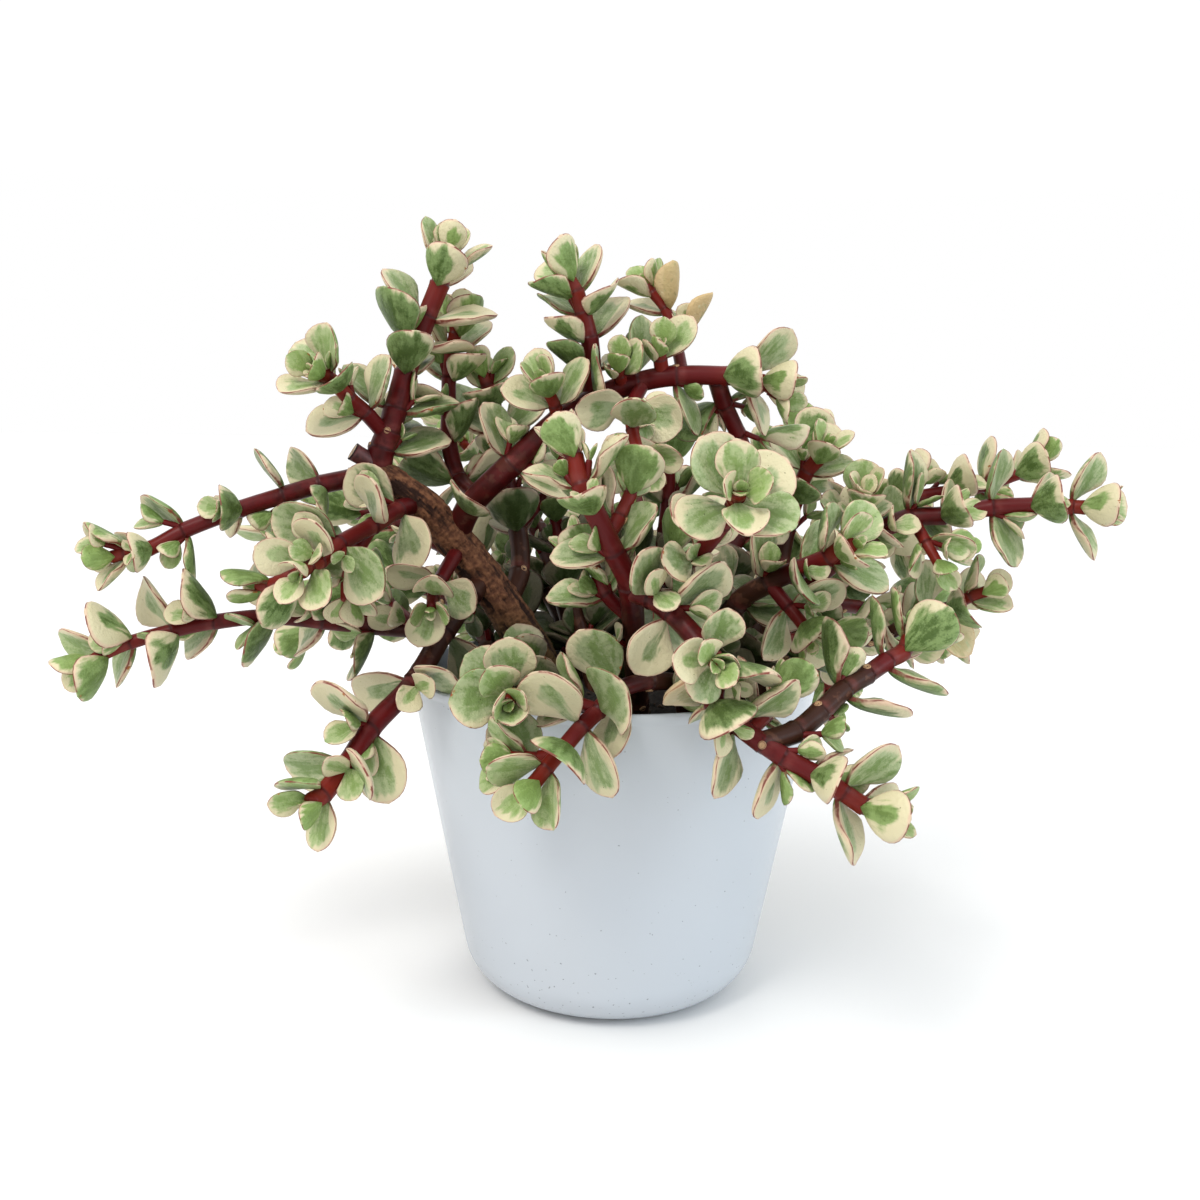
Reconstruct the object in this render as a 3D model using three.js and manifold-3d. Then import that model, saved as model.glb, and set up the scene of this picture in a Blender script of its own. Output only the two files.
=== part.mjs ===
// A variegated elephant bush (Portulacaria afra) in a plain tapered pot.
// Millimetres, +Z up. The origin is the centre of the pot's underside.
// The plant stands in the soil as a woody trunk with leafy stems, and as further leafy stems
// round it. Leaves sit in opposite pairs along each stem, every pair turned from the last.
import * as THREE from "three";
import Module from "manifold-3d";

const wasm = await Module();
wasm.setup();

// ---------------------------------------------------------------- driving dimensions
const POT_HEIGHT = 103;
const RIM_RADIUS = 65;
const BASE_RADIUS = 45; // where the straight wall, carried down, meets the ground
const FOOT_ROUND = 17; // radius of the round between wall and underside
const FOOT_STEPS = 5;
const WALL = 2.2;
const FLOOR = 4;
const FLOOR_ROUND = [9, 8]; // width and height of the slope between floor and wall, inside
const LIP_HEIGHT = 2.6;
const LIP_PROUD = 0.5;
const LIP_ROUND = 0.7;
const POT_SIDES = 36;

const SOIL_TOP = 92;
const SOIL_BUMP = 1.1;
const SOIL_EDGE = 1.5; // how far the soil lies lower at the wall
const SOIL_SHARES = [0.8, 0.55, 0.3]; // the rings of its surface, as shares of its radius
const SOIL_SIDES = 24;

const GAP = 0.3; // between neighbouring solids
const CLEARANCE = 0.35; // least distance from a blade to anything it doesn't grow from

const STEM_SIDES = 6;
const TRUNK_SIDES = 9;
const TIP_DOME = 0.7; // height of a stem's end, in stem radii

// A blade is egg-shaped: points along its edge as shares of the length and the half width,
// and the highest and lowest point of its thick middle as shares of the length.
const BLADE_EDGE = [[0.3, 0.66], [0.7, 0.98], [1, 0], [0.7, -0.98], [0.3, -0.66]];
const BLADE_TOP = [0.46, 0.045];
const BLADE_UNDER = [0.4, -0.105];
const BLADE_WIDTH = 0.84; // of its length
const ROOT_DEPTH = 0.8; // how far down a facet of its stem a blade's foot reaches, in stem radii
const MOST_ROOT_SHARE = 0.6; // and at most this share of the facet

// Counted from a stem's tip: how far each pair opens from the stem, and its share of full length.
const PAIR_OPEN = [26, 44, 58, 66, 70];
const PAIR_SIZE = [0.6, 0.86, 1, 1.06];
const LIFT = 0.15; // how strongly blades rise
const FACE_UP = 0.2; // how strongly a blade's upper side turns to the sky
const FACE_OUT = 0.55; // and to the nearer side of the plant
const MIDDLE = 22; // y of the line that parts the plant's front from its back

// How far a blade's random draws spread: degrees of opening, of turn round the stem and of
// twist, then shares of its length and its width.
const SPREAD = { open: 8, turn: 10, twist: 14, length: 0.09, width: 0.09 };
const FIRST_SEED = 1009;
const SEED_STEP = 7919;

// Where a blade would touch another, it is bent by these steps until it is clear:
// degrees of opening, of turn round the stem and of twist, and share of its length.
const BENDS = [
  [0, 0, 0, 1], [10, 0, 0, 1], [-10, 0, 0, 1], [0, 16, 0, 1], [0, -16, 0, 1],
  [0, 0, 22, 1], [0, 0, -22, 1], [14, 14, 12, 0.92], [-14, -14, -12, 0.92],
  [14, -14, -12, 0.92], [-14, 14, 12, 0.92], [0, 28, 15, 0.85], [0, -28, -15, 0.85],
  [22, 0, 25, 0.8], [-20, 0, -25, 0.8], [10, 30, -25, 0.7], [10, -30, 25, 0.7],
  [-15, 40, 0, 0.6], [-15, -40, 0, 0.6],
];

// ---------------------------------------------------------------- the stems
// from: the stem that it grows out of, or "soil". partOf: the node that a side shoot is fused
// into. radius: at its foot and at its tip. leaf: full blade length. route: x, y, z, and at a
// leaf pair a fourth number, the pair's turn in degrees round the stem from the front view.
// faceOut: where its leaves stand on edge, instead of FACE_OUT.
const STEMS = [
  { name: "trunk", from: "soil", radius: [7.4, 4.4], leaf: 0, route: [
    [-14, 5, 78], [-19, 4, 91], [-27, 2, 108], [-36, 0, 123], [-48, -4, 140], [-59, -8, 154],
    [-69, -10, 162], [-74, -10, 165]] },
  { name: "cut_stub", from: "trunk", partOf: "trunk", radius: [2.9, 2.7], leaf: 0, route: [
    [-73, -10, 165], [-77, -12, 169], [-80, -13, 171]] },

  // left-hand side
  { name: "left_upper", from: "trunk", radius: [3.3, 1.8], leaf: 14, faceOut: 0.1, route: [
    [-73, -10, 165], [-81, -13, 163], [-90, -16, 161, 50], [-100, -20, 158, 0],
    [-112, -25, 154, 90], [-127, -30, 148, 0], [-136, -34, 143, 90], [-142, -37, 142, 0],
    [-145, -38, 141, 90]] },
  { name: "left_down", from: "trunk", radius: [3.7, 2.6], leaf: 17.2, route: [
    [-42, -3, 131], [-45, -9, 127, 148], [-52, -20, 117, 163], [-59, -36, 105, 58],
    [-69, -52, 95, 148], [-74, -61, 87, 58], [-79, -69, 81, 148], [-81, -72, 80, 58]] },
  { name: "left_lower", from: "left_down", radius: [3.1, 1.8], leaf: 16, faceOut: 0.1, route: [
    [-51, -17, 120], [-60, -14, 117], [-75, -16, 118, 45], [-89, -20, 120, 135],
    [-104, -25, 122, 45], [-119, -30, 121, 135], [-130, -34, 119, 45], [-141, -38, 116, 135],
    [-148, -41, 113, 45], [-151, -43, 111, 135]] },
  { name: "left_lower_side", from: "left_lower", partOf: "left_lower", radius: [2, 1.4],
    leaf: 14.5, route: [
    [-59, -14, 117], [-69, -3, 121], [-76, 4, 127, 0], [-81, 8, 130, 90]] },
  { name: "upright_left", from: "trunk", radius: [4.3, 2.7], leaf: 16.5, route: [
    [-73, -10, 166], [-72, -10, 172, 20], [-70, -9, 177, 90], [-68, -8, 184, 0],
    [-65, -6, 195, 90], [-62, -4, 204, 45], [-59, -3, 212, 0], [-55, -2, 222, 90],
    [-53, -2, 228, 0], [-52, -2, 231, 90]] },
  { name: "upright_left_side", from: "upright_left", partOf: "upright_left", radius: [2.5, 2.2],
    leaf: 16, route: [
    [-71, -9, 176], [-76, -15, 183, 8], [-80, -19, 187], [-83, -22, 191, 98],
    [-85, -26, 193, 8], [-87, -29, 194, 98]] },
  { name: "cluster_left", from: "trunk", radius: [3.1, 1.9], leaf: 16.6, route: [
    [-61, -8, 155], [-66, -17, 154, 20], [-72, -28, 150, 110], [-79, -40, 146, 20],
    [-83, -49, 142, 110], [-85, -54, 141, 20], [-86, -57, 140, 110]] },
  { name: "inner_left", from: "trunk", radius: [2.6, 1.6], leaf: 15, route: [
    [-49, -6, 141], [-53, -22, 133, 0], [-54, -30, 129, 90], [-54, -33, 127, 0]] },

  // the long arch over the middle and the shoots that rise from it
  { name: "arch", from: "trunk", radius: [4.3, 2.3], leaf: 16, route: [
    [-50, -4, 145], [-45, -8, 155, 90], [-32, -11, 168, 0], [-18, -13, 181, 90],
    [-5, -15, 189, 70], [6, -16, 193, 0], [17, -18, 195, 10], [32, -19, 195, 90],
    [39, -20, 194, 10], [43, -21, 193, 80], [45, -22, 192, 0]] },
  { name: "arch_shoot_left", from: "arch", partOf: "arch", radius: [2.2, 1.6], leaf: 15.5,
    route: [[-18, -13, 180], [-19, -19, 186, 0], [-21, -22, 190, 90], [-22, -24, 192, 0]] },
  { name: "arch_bud_left", from: "arch", partOf: "arch", radius: [2.2, 1.6], leaf: 14.5,
    route: [[1, -16, 192], [0, -20, 195, 10], [0, -22, 197, 80]] },
  { name: "arch_bud_right", from: "arch", partOf: "arch", radius: [2.4, 1.8], leaf: 16,
    route: [[13, -17, 195], [12, -20, 200, 15], [12, -22, 202, 75]] },
  { name: "arch_shoot_down", from: "arch", partOf: "arch", radius: [2.2, 1.6], leaf: 14.5,
    route: [
    [7, -17, 192], [4, -24, 186, 0], [4, -33, 179, 90], [6, -39, 172, 0], [7, -42, 170, 90]] },
  { name: "upright_mid", from: "arch", radius: [3, 1.9], leaf: 15.9, route: [
    [-42, -8, 157], [-50, 5, 162, 45], [-54, 10, 174, 135], [-54, 11, 183, 45], [-54, 12, 194, 135],
    [-53, 12, 203, 45], [-52, 12, 208, 135], [-52, 12, 211, 45]] },
  { name: "arch_top_mid", from: "arch", radius: [3.1, 2], leaf: 15, route: [
    [-8, -14, 187], [-8, -14, 197, 20], [-9, -15, 206, 45], [-11, -16, 213, 130],
    [-13, -17, 219, 40], [-15, -17, 222, 110], [-16, -17, 224, 20]] },
  { name: "arch_top_right", from: "arch", radius: [2, 1.4], leaf: 14.5, route: [
    [19, -18, 195], [17, -8, 206, 155], [14, -5, 215, 135], [10, -4, 220, 45], [9, -4, 222, 135]] },
  { name: "arch_down", from: "arch", radius: [3, 1.8], leaf: 15, route: [
    [29, -18, 194], [32, -12, 187, 20], [37, -6, 178], [42, 0, 168, 90], [47, 5, 157, 0],
    [49, 7, 152, 90]] },
  { name: "upright_inner", from: "trunk", radius: [3.6, 2], leaf: 16, route: [
    [-35, 0, 122], [-31, 10, 132], [-32, 16, 145, 90], [-35, 20, 156, 0], [-37, 20, 167, 90],
    [-39, 18, 177, 0], [-40, 16, 186, 90], [-42, 14, 192, 0], [-43, 14, 195, 90]] },

  // front
  { name: "front_stem", from: "soil", radius: [3.7, 2.3], leaf: 14, route: [
    [8, -13, 78], [7, -26, 98], [5, -50, 121], [3, -66, 139], [-1, -70, 148, 0],
    [-7, -73, 160, 90], [-10, -73, 166, 0], [-12, -71, 173, 90], [-14, -70, 176, 0]] },
  { name: "front_shoot", from: "front_stem", partOf: "front_stem", radius: [2.2, 1.6], leaf: 14,
    route: [[4, -55, 128], [-3, -57, 135, 0], [-7, -55, 143, 90], [-11, -53, 147, 0]] },
  { name: "front_trail", from: "front_stem", radius: [3, 2.4], leaf: 16, route: [
    [4, -65, 137], [9, -71, 136, 60], [14, -75, 133, 0], [21, -80, 126], [25, -83, 119, 50],
    [25, -84, 111, 90], [31, -86, 106, 0], [37, -88, 102, 90], [42, -89, 99, 0],
    [50, -91, 95, 90], [57, -93, 91, 0], [62, -94, 88, 90], [67, -95, 87, 0]] },
  { name: "front_trail_shoot", from: "front_trail", partOf: "front_trail", radius: [2.6, 1.7],
    leaf: 14.5, route: [[22, -80, 125], [24, -88, 124, 0], [24, -92, 124, 90], [24, -95, 124, 45]] },
  { name: "front_trail_side", from: "front_trail", partOf: "front_trail", radius: [2.2, 1.5],
    leaf: 15, route: [[33, -87, 104], [38, -80, 107, 0], [42, -76, 111, 90], [43, -75, 112, 0]] },
  { name: "front_rosette", from: "front_stem", radius: [2.7, 1.9], leaf: 15.5, route: [
    [4, -60, 133], [11, -60, 140], [20, -68, 147, 90], [26, -80, 157, 60], [28, -87, 162, 45],
    [28, -91, 164, 135], [28, -95, 165, 0], [28, -98, 166, 90]] },
  { name: "front_fork", from: "front_trail", radius: [3.1, 2.2], leaf: 15.5, route: [
    [36, -88, 102], [46, -83, 104], [53, -78, 108], [60, -73, 113, 168], [67, -68, 116],
    [73, -64, 119, 168], [78, -61, 121, 78], [80, -59, 124, 168], [82, -57, 125, 78]] },
  { name: "low_front", from: "soil", radius: [2.8, 2], leaf: 18.4, route: [
    [22, -28, 78], [19, -42, 105], [9, -58, 111], [0, -66, 110, 0], [-5, -73, 106, 90],
    [-9, -77, 103, 0], [-14, -82, 98, 90], [-18, -86, 94, 0], [-21, -90, 91, 90]] },
  { name: "low_front_side", from: "low_front", partOf: "low_front", radius: [2, 1.5], leaf: 15.2,
    route: [[-14, -82, 98], [-20, -79, 95], [-24, -79, 95, 0], [-27, -79, 95, 90]] },
  { name: "low_rosette", from: "soil", radius: [2.8, 1.8], leaf: 15, route: [
    [-22, -22, 78], [-24, -34, 104], [-24, -46, 104], [-27, -56, 108, 70], [-28, -67, 109, 0],
    [-28, -73, 109, 90], [-28, -77, 110, 30], [-28, -80, 110, 120]] },

  // right-hand side
  { name: "right_mid", from: "soil", radius: [3.8, 2.2], leaf: 15.5, route: [
    [27, -8, 78], [30, -18, 112], [36, -30, 129, 8], [44, -37, 136, 8], [52, -43, 141, 98],
    [59, -48, 145, 8], [62, -51, 148, 98], [64, -53, 149, 8]] },
  { name: "upright_right", from: "soil", radius: [3.8, 2.2], leaf: 14.5, route: [
    [47, 3, 78], [51, 6, 104], [52, 10, 120], [54, 12, 135], [56, 13, 147], [58, 10, 157, 90],
    [61, 8, 166, 0], [64, 6, 170, 90], [66, 5, 174, 0]] },
  { name: "right_long", from: "soil", radius: [4.2, 2], leaf: 16.7, route: [
    [39, 12, 78], [45, 20, 103], [59, 25, 120], [77, 14, 141], [85, 5, 148, 90],
    [94, 3, 152, 0], [104, 1, 153, 90], [118, -2, 156, 0], [130, -5, 157, 90],
    [141, -8, 157, 0], [144, -10, 157, 90], [146, -11, 157, 0]] },
  { name: "right_behind", from: "right_long", radius: [2.6, 1.6], leaf: 15, route: [
    [66, 21, 128], [80, 27, 143], [93, 28, 154, 73], [101, 27, 157, 163], [112, 27, 159, 73],
    [124, 26, 161, 163], [134, 25, 165, 73], [138, 24, 167, 163], [141, 24, 170, 73]] },
  { name: "right_low", from: "soil", radius: [3, 1.8], leaf: 15.5, route: [
    [49, 15, 78], [56, 16, 104], [69, 24, 113], [88, 27, 108], [98, 22, 114, 90],
    [105, 17, 119, 0], [111, 13, 122, 90], [116, 9, 126, 0], [120, 7, 128, 90]] },

  // inside the bush
  { name: "inner_back_left", from: "soil", radius: [3, 1.9], leaf: 17, route: [
    [-3, 14, 78], [-8, 18, 99], [-10, 20, 108, 0], [-15, 24, 124, 90], [-18, 26, 138, 0],
    [-20, 26, 148, 90], [-21, 26, 155, 0]] },
  { name: "inner_mid", from: "soil", radius: [3.4, 2], leaf: 17.5, route: [
    [14, 16, 78], [14, 23, 101], [14, 28, 114, 20], [16, 32, 134, 110], [18, 34, 154, 20],
    [18, 34, 167, 110], [17, 34, 173, 20]] },
  { name: "inner_right", from: "soil", radius: [3, 1.8], leaf: 17, route: [
    [36, -4, 78], [40, -5, 99], [43, -5, 107, 70], [54, -5, 113, 160], [66, -2, 113, 70],
    [74, 0, 110, 160]] },

  // back
  { name: "back_left", from: "soil", radius: [4, 2.2], leaf: 18, route: [
    [-24, 30, 78], [-32, 40, 106], [-40, 48, 116, 90], [-52, 59, 127, 0], [-66, 70, 135, 90],
    [-81, 82, 141, 0], [-97, 92, 143, 90], [-112, 100, 142, 0], [-126, 107, 138, 90],
    [-136, 112, 134, 0]] },
  { name: "back_left_low", from: "soil", radius: [3.4, 2], leaf: 17.5, route: [
    [-36, 20, 78], [-43, 27, 105], [-52, 37, 115, 0], [-65, 48, 120, 90], [-79, 58, 119, 0],
    [-93, 67, 115, 90], [-105, 75, 108, 0], [-115, 81, 100, 90], [-122, 86, 92, 0]] },
  { name: "back_mid_left", from: "soil", radius: [4.2, 2.2], leaf: 18, route: [
    [-6, 34, 78], [-15, 43, 110], [-20, 51, 124, 0], [-28, 63, 141, 90], [-38, 76, 155, 0],
    [-48, 89, 165, 90], [-57, 101, 173, 0], [-64, 111, 178, 90], [-69, 119, 180, 0]] },
  { name: "back_mid", from: "soil", radius: [4.4, 2.3], leaf: 18, route: [
    [10, 30, 78], [9, 42, 112], [10, 52, 127, 30], [11, 67, 144, 120], [12, 82, 157, 30],
    [14, 95, 168, 120], [14, 105, 175, 30], [15, 112, 180, 120]] },
  { name: "back_mid_right", from: "soil", radius: [4.2, 2.2], leaf: 18, route: [
    [25, 30, 78], [29, 40, 110], [35, 50, 123, 90], [45, 63, 138, 0], [55, 75, 150, 90],
    [64, 86, 160, 0], [71, 96, 168, 90], [76, 104, 173, 0], [79, 110, 176, 90]] },
  { name: "back_right", from: "soil", radius: [4, 2.2], leaf: 18, route: [
    [36, 26, 78], [43, 37, 106], [52, 44, 115, 0], [66, 54, 125, 90], [81, 65, 132, 0],
    [96, 76, 136, 90], [111, 87, 137, 0], [126, 97, 134, 90], [138, 105, 130, 0]] },
  { name: "back_right_low", from: "soil", radius: [3.4, 2], leaf: 17.5, route: [
    [47, 25, 78], [51, 30, 105], [62, 40, 113, 90], [76, 50, 116, 0], [90, 60, 114, 90],
    [104, 69, 110, 0], [115, 75, 104, 90], [124, 80, 97, 0]] },
  { name: "rear_mid", from: "soil", radius: [4, 2.2], leaf: 17.5, route: [
    [10, 49, 78], [11, 52, 103], [12, 64, 119, 0], [13, 81, 124, 90], [15, 98, 118, 0],
    [17, 114, 104, 90], [18, 126, 87, 0], [19, 134, 71, 90], [19, 138, 61, 0]] },
  { name: "rear_left", from: "soil", radius: [3.8, 2.1], leaf: 17.5, route: [
    [-12, 46, 78], [-16, 50, 103], [-24, 61, 118, 90], [-34, 78, 122, 0], [-42, 94, 116, 90],
    [-48, 108, 103, 0], [-52, 119, 86, 90], [-54, 126, 70, 0], [-55, 129, 61, 90]] },
  { name: "rear_right", from: "soil", radius: [3.8, 2.1], leaf: 17.5, route: [
    [34, 41, 78], [36, 44, 104], [46, 56, 120, 90], [60, 74, 122, 0], [72, 90, 117, 90],
    [82, 104, 105, 0], [88, 114, 88, 90], [92, 121, 72, 0], [94, 124, 63, 90]] },

  // short shoots that fill the bush, front then back
  { name: "upright_inner_side", from: "upright_inner", partOf: "upright_inner", radius: [2.2, 1.6],
    leaf: 15, route: [[-32, 16, 146], [-25, 21, 154, 0], [-20, 25, 162, 90], [-18, 27, 168, 0]] },
  { name: "front_side", from: "front_stem", partOf: "front_stem", radius: [2.2, 1.6], leaf: 14.5,
    route: [[-3, -70, 152], [0, -67, 157, 0], [3, -63, 163, 90], [4, -61, 167, 0]] },
  { name: "right_mid_inner", from: "right_mid", partOf: "right_mid", radius: [2.4, 1.6], leaf: 15,
    route: [[31, -20, 115], [24, -25, 123, 0], [20, -29, 132, 90], [18, -31, 137, 0]] },
  { name: "cluster_left_low", from: "cluster_left", partOf: "cluster_left", radius: [2.2, 1.6],
    leaf: 15.5, route: [[-72, -28, 150], [-77, -30, 141, 45], [-79, -32, 134, 135], [-79, -33, 129, 45]] },
  { name: "cluster_left_out", from: "cluster_left", partOf: "cluster_left", radius: [2.2, 1.6],
    leaf: 15.5, route: [[-83, -47, 143], [-91, -44, 138, 45], [-99, -40, 134, 135], [-103, -38, 133, 45]] },
  { name: "right_long_up", from: "right_long", partOf: "right_long", radius: [2.4, 1.6], leaf: 15,
    route: [[77, 14, 141], [77, 4, 150, 0], [77, -2, 157, 90], [77, -4, 160, 0]] },
  { name: "right_long_down", from: "right_long", partOf: "right_long", radius: [2.2, 1.6], leaf: 15,
    route: [[94, 3, 152], [97, -5, 145, 0], [100, -9, 139, 90]] },
  { name: "right_mid_low", from: "right_mid", partOf: "right_mid", radius: [2.2, 1.6], leaf: 15.5,
    route: [[44, -37, 136], [49, -44, 130, 0], [53, -48, 125, 90], [54, -50, 122, 0]] },
  { name: "low_front_inner", from: "low_front", partOf: "low_front", radius: [2, 1.5], leaf: 15,
    route: [[-4, -72, 106], [-10, -72, 108, 0], [-15, -70, 109, 90]] },
  { name: "back_left_side", from: "back_left", partOf: "back_left", radius: [2.4, 1.6], leaf: 17,
    route: [[-66, 70, 135], [-68, 62, 145, 0], [-72, 58, 154, 90], [-74, 56, 160, 0]] },
  { name: "back_right_side", from: "back_right", partOf: "back_right", radius: [2.4, 1.6], leaf: 17,
    route: [[81, 65, 132], [84, 56, 142, 90], [86, 50, 151, 0], [87, 47, 157, 90]] },
  { name: "back_mid_left_side", from: "back_mid_left", partOf: "back_mid_left", radius: [2.4, 1.6],
    leaf: 17, route: [[-38, 76, 155], [-46, 70, 162, 0], [-52, 64, 168, 90], [-55, 61, 172, 0]] },
  { name: "back_mid_right_side", from: "back_mid_right", partOf: "back_mid_right",
    radius: [2.4, 1.6], leaf: 17, route: [
    [55, 75, 150], [48, 84, 156, 90], [45, 91, 160, 0], [44, 96, 161, 90]] },
  { name: "rear_mid_side", from: "rear_mid", partOf: "rear_mid", radius: [2.4, 1.6], leaf: 17,
    route: [[13, 81, 124], [2, 88, 130, 0], [-6, 94, 134, 90], [-10, 97, 136, 0]] },
  { name: "inner_mid_side", from: "inner_mid", partOf: "inner_mid", radius: [2.4, 1.6], leaf: 17,
    route: [[15, 30, 124], [6, 33, 131, 0], [0, 36, 138, 90], [-3, 38, 144, 0]] },
];

// ---------------------------------------------------------------- colours
const finish = (color, roughness) =>
  new THREE.MeshStandardMaterial({ color, roughness, metalness: 0, flatShading: true });
const GLAZE = finish("#c8d0da", 0.25);
const SOIL = finish("#14100d", 0.95);
const BARK = finish("#5f4230", 0.8);
const FOLIAGE = finish("#8fb07c", 0.45);

// ---------------------------------------------------------------- solids
const UP = new THREE.Vector3(0, 0, 1);
const BACK = new THREE.Vector3(0, 1, 0);
const RIGHT = new THREE.Vector3(1, 0, 0);

// A manifold-3d solid from points and triangles.
const toSolid = (points, faces) =>
  new wasm.Manifold(new wasm.Mesh({
    numProp: 3,
    vertProperties: new Float32Array(points.flatMap((p) => p.toArray())),
    triVerts: new Uint32Array(faces.flat()),
  }));

// A three.js geometry from a manifold-3d solid.
function toGeometry(solid) {
  const { vertProperties, triVerts } = solid.getMesh();
  return new THREE.BufferGeometry()
    .setAttribute("position", new THREE.BufferAttribute(vertProperties, 3))
    .setIndex(new THREE.BufferAttribute(triVerts, 1));
}

// ---------------------------------------------------------------- stems
// The direction of a route at each of its points, from the point before to the point after.
const directions = (points) =>
  points.map((_, i) =>
    points[Math.min(i + 1, points.length - 1)].clone().sub(points[Math.max(i - 1, 0)]).normalize());

// A direction square to a stem: sideways in the front view, or, for a stem that points
// nearly straight at the front or back, upright.
function sideways(along) {
  const side = along.clone().cross(BACK);
  const endOn = side.length() < 0.35;
  return (endOn ? along.clone().cross(RIGHT) : side).normalize();
}

// The direction from a stem's middle to the first corner of its section, at each point. At a
// leaf pair the section is turned so that a facet faces each leaf.
function cornerDirections(stem, along) {
  let corner = sideways(along[0]);
  return stem.route.map((place, i) => {
    corner = corner.clone().addScaledVector(along[i], -along[i].dot(corner)).normalize();
    if (place.length < 4) return corner;
    const carried = corner;
    const facet = 360 / STEM_SIDES;
    const choices = Array.from({ length: STEM_SIDES }, (_, k) =>
      turned(sideways(along[i]), along[i], place[3] + facet * (k + 0.5)));
    corner = choices.reduce((a, b) => (b.dot(carried) > a.dot(carried) ? b : a));
    return corner;
  });
}

function measure(stem) {
  const points = stem.route.map(([x, y, z]) => new THREE.Vector3(x, y, z));
  const along = directions(points);
  const [foot, tip] = stem.radius;
  return {
    faceOut: FACE_OUT,
    ...stem,
    points,
    along,
    corners: cornerDirections(stem, along),
    radii: points.map((_, i) => foot + ((tip - foot) * i) / (points.length - 1)),
  };
}

// The ring of points round a stem at one point of its route.
function ring(centre, along, corner, radius, sides, swell = () => 1) {
  const other = along.clone().cross(corner);
  return Array.from({ length: sides }, (_, k) => {
    const turn = (2 * Math.PI * k) / sides;
    const out = corner.clone().multiplyScalar(Math.cos(turn)).addScaledVector(other, Math.sin(turn));
    return centre.clone().addScaledVector(out, radius * swell(turn));
  });
}

// Bark is a little thicker in blunt ridges that wind up the trunk.
const BARK_RIDGES = { count: 3, height: 0.06, wind: 0.8 };
const barkSwell = (level) => (turn) =>
  1 + BARK_RIDGES.height * Math.cos(BARK_RIDGES.count * turn + BARK_RIDGES.wind * level);

// A stem as a closed tapered tube with its blades. grow makes it thicker and longer at its foot.
// A blade is raised from the facet below its node: the facet's upper edge and a point below it
// are the blade's foot.
function tube(stem, blades = [], grow = 0) {
  const { points, along, radii } = stem;
  const woody = stem.name === "trunk";
  const sides = woody ? TRUNK_SIDES : STEM_SIDES;
  const last = points.length - 1;
  const foot = points[0].clone().addScaledVector(along[0], -grow);
  const tip = points[last].clone().addScaledVector(along[last], radii[last] * TIP_DOME + grow);
  const vertices = points.flatMap((point, i) => {
    const swell = woody ? barkSwell(i) : undefined;
    return ring(i ? point : foot, along[i], stem.corners[i], radii[i] + grow, sides, swell);
  });
  const faces = [];
  const footPoint = vertices.push(foot) - 1;
  const tipPoint = vertices.push(tip) - 1;
  for (let k = 0; k < sides; k++) {
    const next = (k + 1) % sides;
    faces.push([footPoint, next, k], [tipPoint, last * sides + k, last * sides + next]);
    for (let i = 0; i < last; i++) {
      const facet = [k, next, next + sides, k + sides].map((v) => v + i * sides);
      const leaf = blades.find((b) => b.node === i + 1 && b.facet === k);
      if (leaf) raiseBlade(vertices, faces, facet, leaf);
      else faces.push([facet[0], facet[1], facet[2]], [facet[0], facet[2], facet[3]]);
    }
  }
  return toSolid(vertices, faces);
}

// Adds a facet that bears a blade. low and high are its ends, a on the blade's left and b on
// its right as seen from the stem's foot.
function raiseBlade(vertices, faces, [lowA, lowB, highB, highA], leaf) {
  const upper = vertices[highA].clone().lerp(vertices[highB], 0.5);
  const lower = vertices[lowA].clone().lerp(vertices[lowB], 0.5);
  const depth = Math.min(MOST_ROOT_SHARE, (ROOT_DEPTH * leaf.stemRadius) / upper.distanceTo(lower));
  const heel = vertices.push(upper.lerp(lower, depth)) - 1;
  faces.push([lowA, lowB, heel], [lowB, highB, heel], [highA, lowA, heel]);
  const first = vertices.push(...leaf.corners) - leaf.corners.length;
  const edge = [highA, ...BLADE_EDGE.map((_, i) => first + i), highB];
  const top = first + BLADE_EDGE.length;
  const under = top + 1;
  for (let i = 0; i < edge.length - 1; i++)
    faces.push([top, edge[i], edge[i + 1]], [under, edge[i + 1], edge[i]]);
  faces.push([top, highB, highA], [under, highA, heel], [under, heel, highB]);
}

// ---------------------------------------------------------------- leaves
// Park and Miller's random numbers, the same on every run.
function seeded(seed) {
  let state = seed;
  const draw = () => {
    state = (state * 16807) % 2147483647;
    return state / 2147483647;
  };
  for (let i = 0; i < 3; i++) draw();
  return (spread) => (2 * draw() - 1) * spread;
}

const turned = (v, axis, degrees) =>
  v.clone().applyAxisAngle(axis, THREE.MathUtils.degToRad(degrees));

// A blade's corners: its edge, then the highest and the lowest point of its middle.
function bladePoints({ root, along, up, length, width }) {
  const across = along.clone().cross(up);
  const at = (share, side, height) =>
    root.clone()
      .addScaledVector(along, share * length)
      .addScaledVector(across, (side * width) / 2)
      .addScaledVector(up, height * length);
  return [
    ...BLADE_EDGE.map(([share, side]) => at(share, side, 0)),
    at(BLADE_TOP[0], 0, BLADE_TOP[1]),
    at(BLADE_UNDER[0], 0, BLADE_UNDER[1]),
  ];
}

const middle = (points) =>
  points.reduce((sum, p) => sum.add(p), new THREE.Vector3()).divideScalar(points.length);

// The points of a convex obstacle with a ball that holds them.
function hull(points, owner = {}) {
  const centre = middle(points);
  return { points, centre, reach: Math.max(...points.map((p) => p.distanceTo(centre))), ...owner };
}

// The point of a set that lies furthest against a direction.
function lowest(points, direction) {
  let best = points[0];
  let least = Infinity;
  for (const p of points) {
    const height = p.dot(direction);
    if (height < least) {
      least = height;
      best = p;
    }
  }
  return best;
}

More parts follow.
